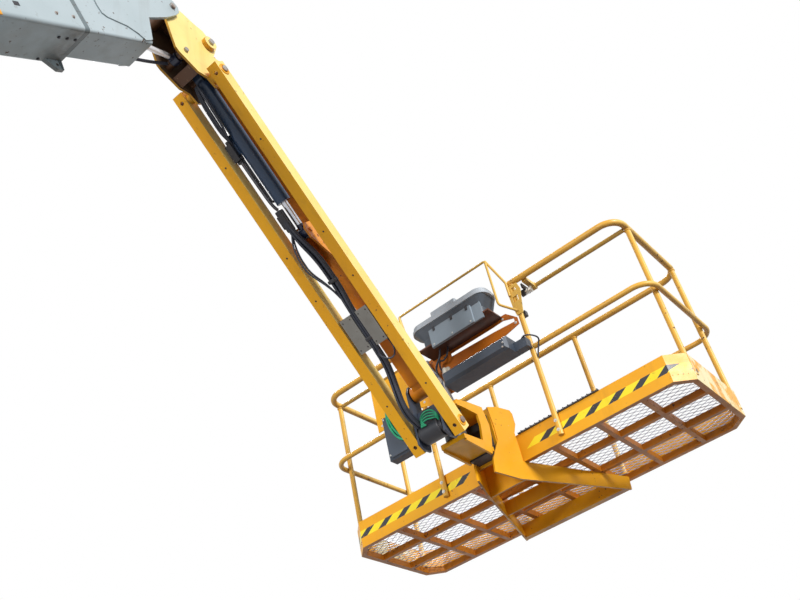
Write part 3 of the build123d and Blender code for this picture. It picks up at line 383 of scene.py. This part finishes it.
def plastic(name, colour, rough=0.5, dusty=0.35):
    """Moulded plastic or rubber with a fine grain, dusty in places and paler along its edges, rubbed wear with a
    painted highlight.
    """
    look = Look(name)
    # The pale edges are rubbed wear and a painted highlight.
    dust = look.ramp(look.noise(5, 4), 0.4, 0.75) * dusty + look.edges(0.003) * 0.35
    pale = tuple(min(1, c * 1.6 + 0.03) for c in colour)
    look.to("Base Color", look.mix(dust.maths("MINIMUM", 1.0), colour, pale))
    look.to("Roughness", look.ramp(look.noise(30, 4), 0.3, 0.7, rough - 0.07, rough + 0.12))
    look.bump(look.noise(420, 2), 0.0004, 0.35)
    return look.material


def rubber(name, colour):
    """Hose rubber: dull, with a fine weave print and dust."""
    look = Look(name)
    dust = look.ramp(look.noise(20, 4, 0.65), 0.45, 0.7) * 0.5
    look.to("Base Color", look.mix(dust, colour, tuple(min(1, c * 1.8 + 0.025) for c in colour)))
    look.to("Roughness", look.ramp(look.noise(45, 3), 0.3, 0.7, 0.45, 0.62))
    look.bump(look.noise(700, 1), 0.0003, 0.3)
    return look.material


# Hazard band on the near toe board: blocks along Y in millimetres, heights and NEAR_BOARD in metres.
PITCH = 156.0
BLOCK = 64.0
LEAN = 1.5
FIRST_BLOCK = 335
BRACKET_RIGHT, BRACKET_LEFT = -215, 255
BAND_FOOT = -0.838
BAND_H = 0.047
NEAR_BOARD = 4.12
# Outer boom: its direction times 1000, then stations along it in millimetres.
BOOM_X, BOOM_Z = 829.0, 559.2
BELLY_DARK_FROM, RECESS, BOOM_END = 900, 1080, 1110
# Half the gap between the knuckle's plates, in metres.
PLATE_INSIDE = 0.0675
RUST = (0.19, 0.075, 0.022)
ORANGE = painted("orange_paint", (0.84, 0.385, 0.004), (0.78, 0.335, 0.004), RUST, underside_shade_and_grime=0.35)
# A lighter copy of the orange: painted light, with a strong painted highlight on faces towards -Y.
LINKS = painted("link_paint", (0.90, 0.43, 0.004), (0.84, 0.37, 0.004), RUST, painted_highlight=0.8, underside_shade_and_grime=0.08)
BRACKET = painted(
    "bracket_paint", (0.82, 0.375, 0.004), (0.74, 0.32, 0.004), (0.17, 0.05, 0.015),
    underside_shade_and_grime=0.9, chips=0.8)
KNUCKLE = painted(
    "knuckle_paint", (0.82, 0.40, 0.010), (0.78, 0.36, 0.008), RUST,
    painted_highlight=0.85, extra=shade_between_plates)
# The beam's darker orange is painted shadow of the links.
BEAM = painted("beam_paint", (0.68, 0.235, 0.004), (0.60, 0.19, 0.004), RUST, painted_highlight=0.1)
TOE = painted("toe_paint", (0.82, 0.385, 0.006), (0.78, 0.34, 0.006), RUST, extra=striped)
FRAME = painted(
    "frame_paint", (0.60, 0.20, 0.008), (0.48, 0.15, 0.008), (0.25, 0.10, 0.035),
    coat=0.2, chips=1.5, underside_shade_and_grime=0.8)
# The panel's dark red-brown is painted shade of the boxes; its left part keeps the plain orange.
PANEL = painted(
    "panel_paint", (0.50, 0.14, 0.004), (0.38, 0.09, 0.004), (0.10, 0.03, 0.012),
    underside_shade_and_grime=0.8, extra=unshaded_left)
# The shelf's near-black brown is painted shade on an orange shelf.
SHELF = painted("shelf_paint", (0.16, 0.045, 0.012), (0.10, 0.03, 0.012), (0.03, 0.02, 0.02), underside_shade_and_grime=0.9)
BOOM = painted(
    "boom_paint", (0.45, 0.52, 0.545), (0.40, 0.47, 0.49), (0.17, 0.13, 0.09),
    chips=0.8, underside_shade_and_grime=0.25)
OUTER = painted(
    "outer_paint", (0.45, 0.52, 0.545), (0.39, 0.46, 0.48), (0.17, 0.13, 0.09),
    chips=1.2, underside_shade_and_grime=0.4, extra=front_band)
BARREL = painted(
    "barrel_paint", (0.026, 0.056, 0.115), (0.032, 0.064, 0.125), (0.05, 0.04, 0.04),
    rough=0.3, rub=0.0)
HEAD = painted(
    "head_paint", (0.035, 0.048, 0.075), (0.045, 0.058, 0.082), (0.07, 0.04, 0.03),
    rough=0.45)
BOXES = painted(
    "box_paint", (0.23, 0.22, 0.20), (0.28, 0.265, 0.235), (0.10, 0.075, 0.055),
    coat=0.2, rough=0.5)
BLOCKS = painted(
    "block_paint", (0.020, 0.022, 0.028), (0.036, 0.037, 0.043), (0.06, 0.04, 0.03),
    coat=0.3, rough=0.4)
GUARD = painted(
    "guard_paint", (0.70, 0.43, 0.08), (0.60, 0.35, 0.06), (0.22, 0.12, 0.05),
    coat=0.4, painted_highlight=0.4, rub=0.0)
RAILS = painted(
    "rail_paint", (0.72, 0.39, 0.05), (0.62, 0.32, 0.04), (0.24, 0.12, 0.04),
    coat=0.5, chips=1.2, painted_highlight=0.4, rub=0.0)
CHROME = metal("rod_chrome", (0.55, 0.56, 0.60), 0.2, painted_end=((2.4914, 0, 0.1410), 0.060))
LEVEL = metal("level_chrome", (0.80, 0.79, 0.80), 0.34, painted_end=((1.6448, 0, 0.9090), 0.055))
PIN = metal("pin_steel", (0.42, 0.40, 0.38), 0.4, rust=0.5)
ZINC = metal("zinc_steel", (0.62, 0.61, 0.57), 0.38, rust=0.15)
PIPE = metal("pipe_steel", (0.09, 0.09, 0.10), 0.4, rust=0.1)
MESH = metal("floor_steel", (0.44, 0.44, 0.50), 0.55, rust=0.25)
PAD = plastic("pad_plastic", (0.03, 0.03, 0.032))
CASE = plastic("console_plastic", (0.050, 0.062, 0.078))
TRAY = plastic("tray_plastic", (0.20, 0.245, 0.285), 0.45, dusty=0.2)
LID = plastic("lid_plastic", (0.33, 0.36, 0.39), 0.5)
SLATE = plastic("slate_plastic", (0.030, 0.042, 0.062), 0.4)
PLUG = plastic("plug_plastic", (0.55, 0.52, 0.44), 0.5)
BLACK = rubber("black_rubber", (0.010, 0.012, 0.022))
GREEN = rubber("green_rubber", (0.004, 0.27, 0.12))
GREY = rubber("grey_rubber", (0.45, 0.44, 0.43))

BY_SLOT = {
    "boom_paint": BOOM, "pad_plastic": PAD, "pin_steel": PIN, "rod_chrome": CHROME,
    "barrel_paint": BARREL, "orange_paint": ORANGE, "knuckle_paint": KNUCKLE, "guard_paint": GUARD,
    "box_paint": BOXES, "block_paint": BLOCKS, "floor_steel": MESH, "toe_paint": TOE,
    "console_plastic": CASE, "lid_plastic": LID, "slate_plastic": SLATE,
    "pipe_steel": PIPE,
}
BY_NODE = {
    "floor_frame": FRAME, "jib_head": HEAD, "console_tray": TRAY, "top_rail": RAILS, "mid_rail": RAILS,
    "outer_boom": OUTER, "collar_lug": OUTER, "jib_beam": BEAM, "cylinder_bracket": BEAM,
    "console_panel": PANEL, "console_shelf": SHELF, "level_rod": LEVEL, "platform_bracket": BRACKET,
    "jib_link_left": LINKS, "jib_link_right": LINKS, "box_hangers": BEAM,
}
for part in frame["record"]["subparts"]:
    name = part["node"]
    node = frame["nodes"][name]
    finish = BY_NODE.get(name, BY_SLOT[part["material_slot"]])
    if name.startswith("post_"):
        finish = RAILS
    node.data.materials.clear()
    node.data.materials.append(finish)


# ---- places on the object, in millimetres
def turned_frame(origin, degrees):
    """Maker of points from (along, y, rise) in a frame turned about Y, as an array in metres."""
    angle = math.radians(degrees)
    along = np.array((math.cos(angle), 0.0, math.sin(angle)))
    rise = np.array((-math.sin(angle), 0.0, math.cos(angle)))
    axes = np.stack((along, np.array((0.0, 1.0, 0.0)), rise))

    def place(points):
        return (np.asarray(points, float) @ axes + np.array(origin)) / 1000

    place.axes = axes
    return place


BOOM_AT = turned_frame((0, 0, 0), 34)
JIB_AT = turned_frame((1824.82, 0, 819.03), -47.9)
DECK_AT = turned_frame((3978.63, 0, -901.90), 0)


def skin(name, body, slot, finish, points, faces, smooth=True, bevel=0.0):
    """A piece from its points and faces; rides on a body; corners may be rounded by a bevel."""
    mesh = bpy.data.meshes.new(name)
    mesh.from_pydata(np.asarray(points).tolist(), [], faces)
    mesh.validate()
    mesh.polygons.foreach_set("use_smooth", [smooth] * len(mesh.polygons))
    mesh.materials.append(finish)
    piece = bpy.data.objects.new(name, mesh)
    scene.collection.objects.link(piece)
    if bevel:
        rounding = piece.modifiers.new("bevel", "BEVEL")
        rounding.width = bevel
        rounding.segments = 2
        rounding.limit_method = "ANGLE"
    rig.ride(piece, body)
    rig.slot(piece, slot)
    return piece


def grid_faces(copies, rows, around):
    """Quads of copies of a tube of rows rings with so many points around, and its two end caps."""
    ring = np.arange(around)
    row = np.arange(rows - 1)[:, None] * around
    after = (ring + 1) % around
    quad = np.stack((row + ring, row + after, row + around + after, row + around + ring), -1)
    quads = quad.reshape(-1, 4)
    shift = (np.arange(copies) * rows * around)[:, None, None]
    sides = (quads + shift).reshape(-1, 4).tolist()
    caps = np.stack((ring[::-1], ring + (rows - 1) * around))
    return sides + (caps + shift).reshape(-1, around).tolist()


def turnings(name, body, slot, finish, at, spots, axis, profile, around, hexed=()):
    """Copies of a turned shape: profile rows of radius R and height h, carried round an axis at each spot.

    A point is spot + R cos(a) side + R sin(a) over + h up, with a in equal steps. In a row listed in
    hexed, R is multiplied by cos 30 / cos of the angle to the nearest flat, which makes it six-sided.
    """
    profile = np.asarray(profile, float)
    angle = np.linspace(0, 2 * math.pi, around, endpoint=False)
    radius = np.repeat(profile[:, :1], around, 1)
    flat = math.cos(math.pi / 6) / np.cos((angle % (math.pi / 3)) - math.pi / 6)
    for row in hexed:
        radius[row] *= flat
    up = np.asarray(axis, float)
    up = up / np.linalg.norm(up)
    side = np.cross(up, (0.31, 0.62, 0.72))
    side /= np.linalg.norm(side)
    over = np.cross(up, side)
    local = radius[..., None] * (np.cos(angle)[:, None] * side + np.sin(angle)[:, None] * over)
    local = local + profile[:, 1][:, None, None] * up
    spots = np.atleast_2d(np.asarray(spots, float))
    points = spots[:, None, None, :] + local[None]
    faces = grid_faces(len(spots), len(profile), around)
    skin(name, body, slot, finish, at(points.reshape(-1, 3)), faces, smooth=False)


BOLT = ((1.0, -0.3), (1.0, 0.14), (0.9, 0.2), (0.64, 0.2), (0.64, 0.62), (0.54, 0.7), (0.05, 0.72))


def bolts(name, body, at, spots, axis, size, finish=None):
    """Hexagon bolt heads on washers; size is the washer's radius."""
    profile = np.array(BOLT) * size
    turnings(name, body, "pin_steel", finish or ZINC, at, spots, axis, profile, 12, (3, 4))


def blocks(name, body, slot, finish, at, pairs, bevel=0.002):
    """Several boxes as one piece, each given by two opposite corners, with rounded edges."""
    corner = np.array([(x, y, z) for z in (0, 1) for x, y in ((0, 0), (1, 0), (1, 1), (0, 1))])
    low, high = np.asarray(pairs, float).transpose(1, 0, 2)
    points = low[:, None] + corner[None] * (high - low)[:, None]
    one = np.array([(3, 2, 1, 0), (4, 5, 6, 7), (0, 1, 5, 4), (1, 2, 6, 5), (2, 3, 7, 6), (3, 0, 4, 7)])
    faces = (one[None] + 8 * np.arange(len(low))[:, None, None]).reshape(-1, 4).tolist()
    skin(name, body, slot, finish, at(points.reshape(-1, 3)), faces, False, bevel)


def hose(name, body, slot, finish, at, points, radius, across=None):
    """A hose or cable held at both ends: a round tube on a smooth line through its control points.

    across is the next body and the two stations along the frame between which the hose goes over to it.
    """
    line = bpy.data.curves.new(name, "CURVE")
    line.dimensions = "3D"
    spline = line.splines.new("NURBS")
    spline.points.add(len(points) - 1)
    spots = np.concatenate((at(points), np.ones((len(points), 1))), 1)
    spline.points.foreach_set("co", spots.ravel())
    spline.order_u = 3
    spline.use_endpoint_u = True
    spline.resolution_u = 8
    line.bevel_depth = radius / 1000
    line.bevel_resolution = 4
    line.use_fill_caps = True
    line.materials.append(finish)
    piece = bpy.data.objects.new(name, line)
    scene.collection.objects.link(piece)
    if across:
        onto, start, end = across
        tube = bpy.data.objects.new(name + "_tube", bpy.data.meshes.new_from_object(piece))
        bpy.data.objects.remove(piece)
        tube.name = name
        scene.collection.objects.link(tube)
        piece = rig.blend(tube, body, onto, *at([(start, 0, 0), (end, 0, 0)]).tolist())
    else:
        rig.ride(piece, body)
    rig.slot(piece, slot)


# ---- platform floor: expanded steel sheet in place of the flat one
LONG_WAY = 76.0
ROW = 21.6
DEEP, HALF_LONG, CUT, IN = 886.0, 1224.0, 100.0, 6.0


def expanded_floor():
    """Zigzag strands along Y, each row in step with the next but turned over, so that they meet at the knots.

    A strand's middle line is x = row + a t(y), with t a flat-topped wave of the long way's length; its
    oblong section leans, high on the far side. Rows are held to the floor's cut corners.
    """
    rows = np.arange(IN + ROW / 2, DEEP - IN, ROW)
    cut = np.maximum(0, np.maximum(CUT - rows, rows - (DEEP - CUT)))
    reach = HALF_LONG - IN - cut
    steps = np.array((0.0, 0.14, 0.5, 0.64)) * LONG_WAY
    wave = np.array((-1.0, -1.0, 1.0, 1.0)) * (ROW / 2 - 2.8)
    count = int(2 * HALF_LONG / LONG_WAY) + 2
    y = (np.arange(count)[:, None] * LONG_WAY + steps[None]).ravel() - HALF_LONG
    x = np.tile(wave, count)
    turn = np.where(np.arange(len(rows)) % 2, 1.0, -1.0)
    mid_x = rows[:, None] + turn[:, None] * x[None]
    mid_y = np.clip(np.repeat(y[None], len(rows), 0), -reach[:, None], reach[:, None])
    mid = np.stack((mid_x, mid_y, np.full_like(mid_x, 43.0)), -1)
    lean = math.radians(35)
    wide = np.array((math.cos(lean), 0.0, math.sin(lean))) * 4.2
    thin = np.array((-math.sin(lean), 0.0, math.cos(lean))) * 1.3
    section = np.stack((wide + thin, thin - wide, -wide - thin, wide - thin))
    points = mid[:, :, None] + section[None, None]
    faces = grid_faces(len(rows), len(y), 4)
    points = DECK_AT(points.reshape(-1, 3))
    piece = skin("expanded_floor", "platform", "floor_steel", MESH, points, faces, False)
    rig.replaces(piece, "floor_mesh")


expanded_floor()

# Dark tread strip on the near toe board's upper edge, its teeth a wave along Y.
teeth = np.arange(-712.0, -158.0, 11.0)
blocks("step_strip", "platform", "slate_plastic", BLOCKS, DECK_AT,
       [((-9, y, 176), (15, y + 7.5, 176 + 6 + 5 * (i % 3 == 0))) for i, y in enumerate(teeth)], 0.001)
blocks("step_strip_base", "platform", "slate_plastic", BLOCKS, DECK_AT,
       [((-10, -714, 172), (16, -156, 178))], 0.001)

# Post feet, and welds round them.
FOOT = ((27.0, -4.0), (27.0, 2.0), (22.0, 8.0), (19.0, 11.0), (17.4, 12.0))
FEET = ((136, -1203, 46), (762, -1203, 46), (122, 1203, 46), (762, 1203, 46), (865.5, -370, 46),
        (865.5, 370, 46))
turnings("post_welds", "platform", "orange_paint", RAILS, DECK_AT, FEET, (0, 0, 1), FOOT, 24)
UPPER = ((23.0, 0.0), (22.0, 5.0), (18.5, 9.0), (17.2, 10.0))
TOPS = ((136, -1203, 1129), (762, -1203, 1129), (122, 1203, 1129), (762, 1203, 1129), (865.5, -370, 1129),
        (865.5, 370, 1129), (-17, -420, 1129), (-17, 420, 1129))
turnings("rail_welds", "platform", "orange_paint", RAILS, DECK_AT, TOPS, (0, 0, -1), UPPER, 20)
bolts("near_post_bolts", "platform", DECK_AT,
      [(-34, y, z) for y in (-420, 420) for z in (60, 120)], (-1, 0, 0), 11)

# ---- console
bolts("tray_clips", "platform", DECK_AT, [(-209, y, 1020) for y in (-163, -42, 100)], (-1, 0, 0), 9, BLOCKS)
blocks("tray_latches", "platform", "console_plastic", BLOCKS, DECK_AT,
       [((-214, y - 9, 1006), (-206, y + 9, 1040)) for y in (-163, -42, 100)])
bolts("tray_screws", "platform", DECK_AT, [(-211, y, 914) for y in (-170, -24, 122)], (-1, 0, 0), 6)
turnings("tool_box_knobs", "platform", "slate_plastic", PIN, DECK_AT, [(-186, -322, 667), (-186, -314, 640)],
         (-1, 0, 0), ((6, -3), (6, 4), (4.5, 6), (0.5, 6.5)), 14)
turnings("plug_cluster", "platform", "lid_plastic", PLUG, DECK_AT,
         [(-70, 150, 800), (-70, 178, 806), (-96, 162, 790)], (-0.2, 0, -1),
         ((14, 0), (15, 6), (15, 34), (11, 40), (11, 62), (8, 66), (8, 78)), 16)
bolts("panel_bolts", "platform", DECK_AT,
      [(-38, y, z) for y, z in ((-380, 850), (-300, 925), (330, 925), (400, 690), (400, 980),
                                (760, 980), (760, 700))],
      (-1, 0, 0), 9)
blocks("side_box_cover", "platform", "slate_plastic", SLATE, DECK_AT,
       [((-127, 530, 400), (-121, 694, 684)), ((-131, 600, 672), (-121, 624, 694)),
        ((-131, 548, 390), (-121, 676, 404))])
bolts("side_box_screws", "platform", DECK_AT,
      [(-127, y, z) for y in (540, 684) for z in (412, 672)], (-1, 0, 0), 6)
hose("console_cable_1", "platform", "console_plastic", BLACK, DECK_AT,
     [(-90, 100, 935), (-92, 110, 880), (-90, 160, 850), (-80, 190, 880), (-60, 215, 840),
      (-60, 180, 760), (-70, 120, 714)], 6)
hose("console_cable_2", "platform", "console_plastic", BLACK, DECK_AT,
     [(-110, 150, 935), (-112, 158, 880), (-105, 205, 845), (-80, 235, 820), (-60, 230, 740),
      (-60, 190, 660), (-60, 190, 560)], 7)
hose("console_cable_3", "platform", "console_plastic", BLACK, DECK_AT,
     [(-60, -380, 690), (-110, -420, 690), (-100, -470, 676), (-50, -500, 660), (-20, -470, 640),
      (-20, -440, 560)], 5)
hose("grey_conduit", "platform", "console_plastic", GREY, DECK_AT,
     [(-70, 292, 930), (-76, 288, 880), (-78, 262, 830), (-78, 240, 780), (-76, 214, 720),
      (-74, 196, 650), (-70, 186, 590), (-60, 180, 540)], 14)
for number, (aside, lift) in enumerate(((0, 0), (-16, 14), (-34, 30))):
    line = [(-136 - 6 * number, y + aside, z + lift) for y, z in
            ((612, 792), (640, 740), (652, 655), (634, 570), (600, 500), (548, 452), (500, 440))]
    hose("swivel_tail_%d" % number, "platform", "console_plastic", GREEN, DECK_AT, line, 8)
turnings("rail_clamp", "platform", "pin_steel", ZINC, DECK_AT, [(70, -452, 1092)], (0, -1, 0),
         ((12, -6), (20, -4), (20, 30), (14, 34), (14, 44), (22, 46), (22, 58), (12, 60)), 20)
blocks("rail_clamp_arms", "platform", "pin_steel", BLOCKS, DECK_AT,
       [((20, -478, 1100), (118, -466, 1134)), ((44, -468, 1060), (62, -440, 1104)),
        ((-8, -450, 884), (26, -404, 920))])

# ---- jib: hoses, valve fittings, link bolts
# The jib hoses' middle line: station along the jib, rise, shift to the left, and how far apart the hoses are.
BUNDLE = (
    (850, -4, 34, 0.8), (890, -4, 34, 0.9), (930, -8, 30, 1.1), (1000, -8, 20, 1.5), (1080, 8, 10, 1.7),
    (1169, 8, 2, 1.6), (1313, 4, 0, 1.5), (1420, -12, 0, 1.0), (1508, -14, 0, 1.0), (1600, -12, 0, 1.0),
    (1690, -16, 4, 1.1), (1790, 2, 16, 1.3), (1900, -24, 34, 1.3), (2010, -60, 48, 1.2),
    (2110, -56, 52, 1.2), (2190, 4, 52, 1.2),
)
TO_HEAD = ("jib_head", 1780, 2200)
for number, (y, lift, radius) in enumerate(((-12, 0, 9), (4, -2, 9), (-11, -18, 9), (4, -19, 8), (-4, 14, 8))):
    line = [(along, y * spread + shift, rise + lift) for along, rise, shift, spread in BUNDLE]
    hose("jib_hose_%d" % number, "jib_beam", "console_plastic", BLACK, JIB_AT, line, radius, TO_HEAD)
for number, (y, rise, radius) in enumerate(((24, -22, 8), (40, -18, 8), (2, -30, 6))):
    hose("cylinder_hose_%d" % number, "jib_barrel", "console_plastic", BLACK, JIB_AT,
         [(-20, y * 0.6, rise - 6), (60, y, rise - 14), (160, y + 6, rise - 10), (250, y + 14, rise),
          (318, 50, rise + 26), (346, 53, 34)], radius)
for number in range(4):
    g = 19 * number
    hose("swivel_hose_%d" % number, "jib_head", "console_plastic", GREEN, DECK_AT,
         [(-728, 30 - g / 2, 76), (-733 - g / 8, 32 - g / 3, 118 - g / 2), (-724 - g / 5, 16, 156 - g),
          (-718 - g / 5, -12, 166 - g), (-716 - g / 5, -44, 156 - g), (-716, -66, 130 - g / 2),
          (-700, -72, 104 - g / 2), (-664, -72, 90)], 4.5)
turnings("swivel_drum", "jib_head", "block_paint", BLOCKS, DECK_AT, [(-664, 0, 66)], (0, 1, 0),
         ((10, -78), (44, -78), (47, -75), (47, -66), (58, -62), (60, -56), (60, 56), (58, 62), (47, 66),
          (47, 75), (44, 78), (10, 78)), 48)
hose("jib_loop_hose", "jib_beam", "console_plastic", BLACK, JIB_AT,
     [(1560, -20, 8), (1640, -60, 20), (1710, -84, 8), (1765, -80, -30), (1768, -60, -76), (1740, -40, -98),
      (1715, -24, -84), (1700, -10, -46)], 5)
blocks("valve_body", "jib_barrel", "block_paint", BLOCKS, JIB_AT,
       [((322, 50, -8), (428, 92, 44)), ((300, 60, 6), (324, 82, 30)), ((428, 58, 2), (446, 84, 28))], 0.004)
hose("return_pipe", "jib_barrel", "pipe_steel", PIPE, JIB_AT,
     [(436, 64, 14), (470, 62, 8), (600, 58, 6), (740, 56, 8), (762, 50, 24)], 9)
blocks("hose_clamp", "jib_beam", "block_paint", BLOCKS, JIB_AT,
       [((772, 16, -22), (904, 56, 18)), ((800, 12, -30), (880, 60, -6)),
        ((1240, -24, -30), (1262, 22, 24)), ((1606, -26, -44), (1628, 20, 4))], 0.006)
for number, (half, low) in enumerate(((15, 0), (22, -14))):
    hose("side_loop_%d" % number, "jib_beam", "console_plastic", BLACK, JIB_AT,
         [(905, 36, -6), (960, 40 + half, -24 + low), (1060, 52 + half, -44 + low),
          (1150, 46 + half, -50 + low), (1240, 30, -34 + low), (1330, 12, -20), (1440, 0, -16)], 5)
for side in (-1, 1):
    place = "right" if side < 0 else "left"
    bolts("link_bolts_" + place, "jib_links", JIB_AT,
          [(s, side * 137, -41) for s in (420, 1010, 1290, 1980)], (0, 0, -1), 5, BLOCKS)
    turnings("link_boss_" + place, "jib_links", "orange_paint", ORANGE, JIB_AT,
             [(s, side * 170, 0) for s in (0, 2252)], (0, side, 0),
             ((34, -3), (34, 3), (31, 5), (24, 5), (23, 2)), 32)
bolts("hanger_bolts", "jib_beam", JIB_AT,
      [(s, y, -43) for s in (1475, 1650) for y in (-84, -34, 27, 77)], (0, 0, -1), 4, BLOCKS)
bolts("eye_bolts", "jib_beam", JIB_AT,
      [(s, y, rise) for s, rise in ((990, 70), (1040, 84)) for y in (-58, 58)], (0, 1, 0), 8)

# ---- boom
# A dark plate on the wall where the slot is: painted shade of its opening.
blocks("boom_slot", "outer_boom", "block_paint", BLOCKS, BOOM_AT,
       [((706, -127.5, -140), (738, -125, -118))], 0.001)
blocks("boom_patch", "outer_boom", "orange_paint", ORANGE, BOOM_AT, [((548, -130, -210), (606, -124, -150))])
hose("level_hose", "fly", "console_plastic", BLACK, BOOM_AT,
     [(1560, 60, -150), (1620, 60, -152), (1700, 58, -156), (1770, 52, -160), (1840, 40, -168)], 9,
     ("knuckle", 1600, 1840))
bolts("boom_wall_bolts", "outer_boom", BOOM_AT, [(940, -127, -138), (1041, -127, -139)], (0, -1, 0), 9, PIN)
for place, up in (("belly", -1), ("top", 1)):
    bolts("boom_%s_bolts" % place, "outer_boom", BOOM_AT,
          [(s, y, up * 206) for s in (969, 1019, 1069) for y in (-55, 101)], (0, 0, up), 9, BLOCKS)


# ---- light and floor
def sun(name, toward, level):
    """Soft parallel light; level is how bright a white face square to it turns."""
    light = bpy.data.lights.new(name, "SUN")
    light.angle = 0.3
    light.energy = level * math.pi
    made = bpy.data.objects.new(name, light)
    made.rotation_euler = Vector(toward).to_track_quat("Z", "Y").to_euler()
    scene.collection.objects.link(made)


def seen(tree):
    """1 for camera, glossy and transmission rays, which see the white; 0 for the rays that light the object."""
    rays = tree.nodes.new("ShaderNodeLightPath")
    share = rays.outputs["Is Camera Ray"]
    for name in ("Is Glossy Ray", "Is Transmission Ray"):
        either = tree.nodes.new("ShaderNodeMath")
        either.operation = "MAXIMUM"
        tree.links.new(share, either.inputs[0])
        tree.links.new(rays.outputs[name], either.inputs[1])
        share = either.outputs[0]
    return share


sun("key", (-0.25, -0.90, 0.36), 1.1)
sun("side", (-0.99, 0.05, 0.06), 0.6)
sun("fill", (0.45, 0.45, 0.77), 0.5)

world = bpy.data.worlds.new("studio")
scene.world = world
world.use_nodes = True
sky = world.node_tree
shade = sky.nodes["Background"]
shade.inputs["Color"].default_value = (0.93, 0.96, 1.0, 1)
shade.inputs["Strength"].default_value = 0.27
white = sky.nodes.new("ShaderNodeBackground")
white.inputs["Color"].default_value = (1, 1, 1, 1)
white.inputs["Strength"].default_value = 1.0
blend = sky.nodes.new("ShaderNodeMixShader")
sky.links.new(seen(sky), blend.inputs[0])
sky.links.new(shade.outputs[0], blend.inputs[1])
sky.links.new(white.outputs[0], blend.inputs[2])
sky.links.new(blend.outputs[0], sky.nodes["World Output"].inputs["Surface"])

SIDE = 20
corners = [(x * SIDE, y * SIDE, FLOOR_Z) for x, y in ((-1, -1), (1, -1), (1, 1), (-1, 1))]
ground = bpy.data.meshes.new("ground")
ground.from_pydata(corners, [], [(0, 1, 2, 3)])
pale = Look("floor_paint", Roughness=0.8)
pale.to("Base Color", pale.mix(pale.noise(3, 3), (0.80, 0.80, 0.80), (0.84, 0.84, 0.84)))
dull = pale.tree.nodes.new("ShaderNodeBsdfDiffuse")
dull.inputs["Color"].default_value = (0.29, 0.30, 0.31, 1)
either = pale.tree.nodes.new("ShaderNodeMixShader")
pale.tree.links.new(seen(pale.tree), either.inputs[0])
pale.tree.links.new(dull.outputs[0], either.inputs[1])
pale.tree.links.new(pale.shader.outputs[0], either.inputs[2])
pale.tree.links.new(either.outputs[0], pale.tree.nodes["Material Output"].inputs["Surface"])
ground.materials.append(pale.material)
floor = bpy.data.objects.new("ground", ground)
scene.collection.objects.link(floor)
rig.stage(floor)

with open("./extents.json", "w") as out:
    json.dump({"cad": [list(v) for v in cad_box], "visual": [list(v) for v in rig.bounds()]}, out)
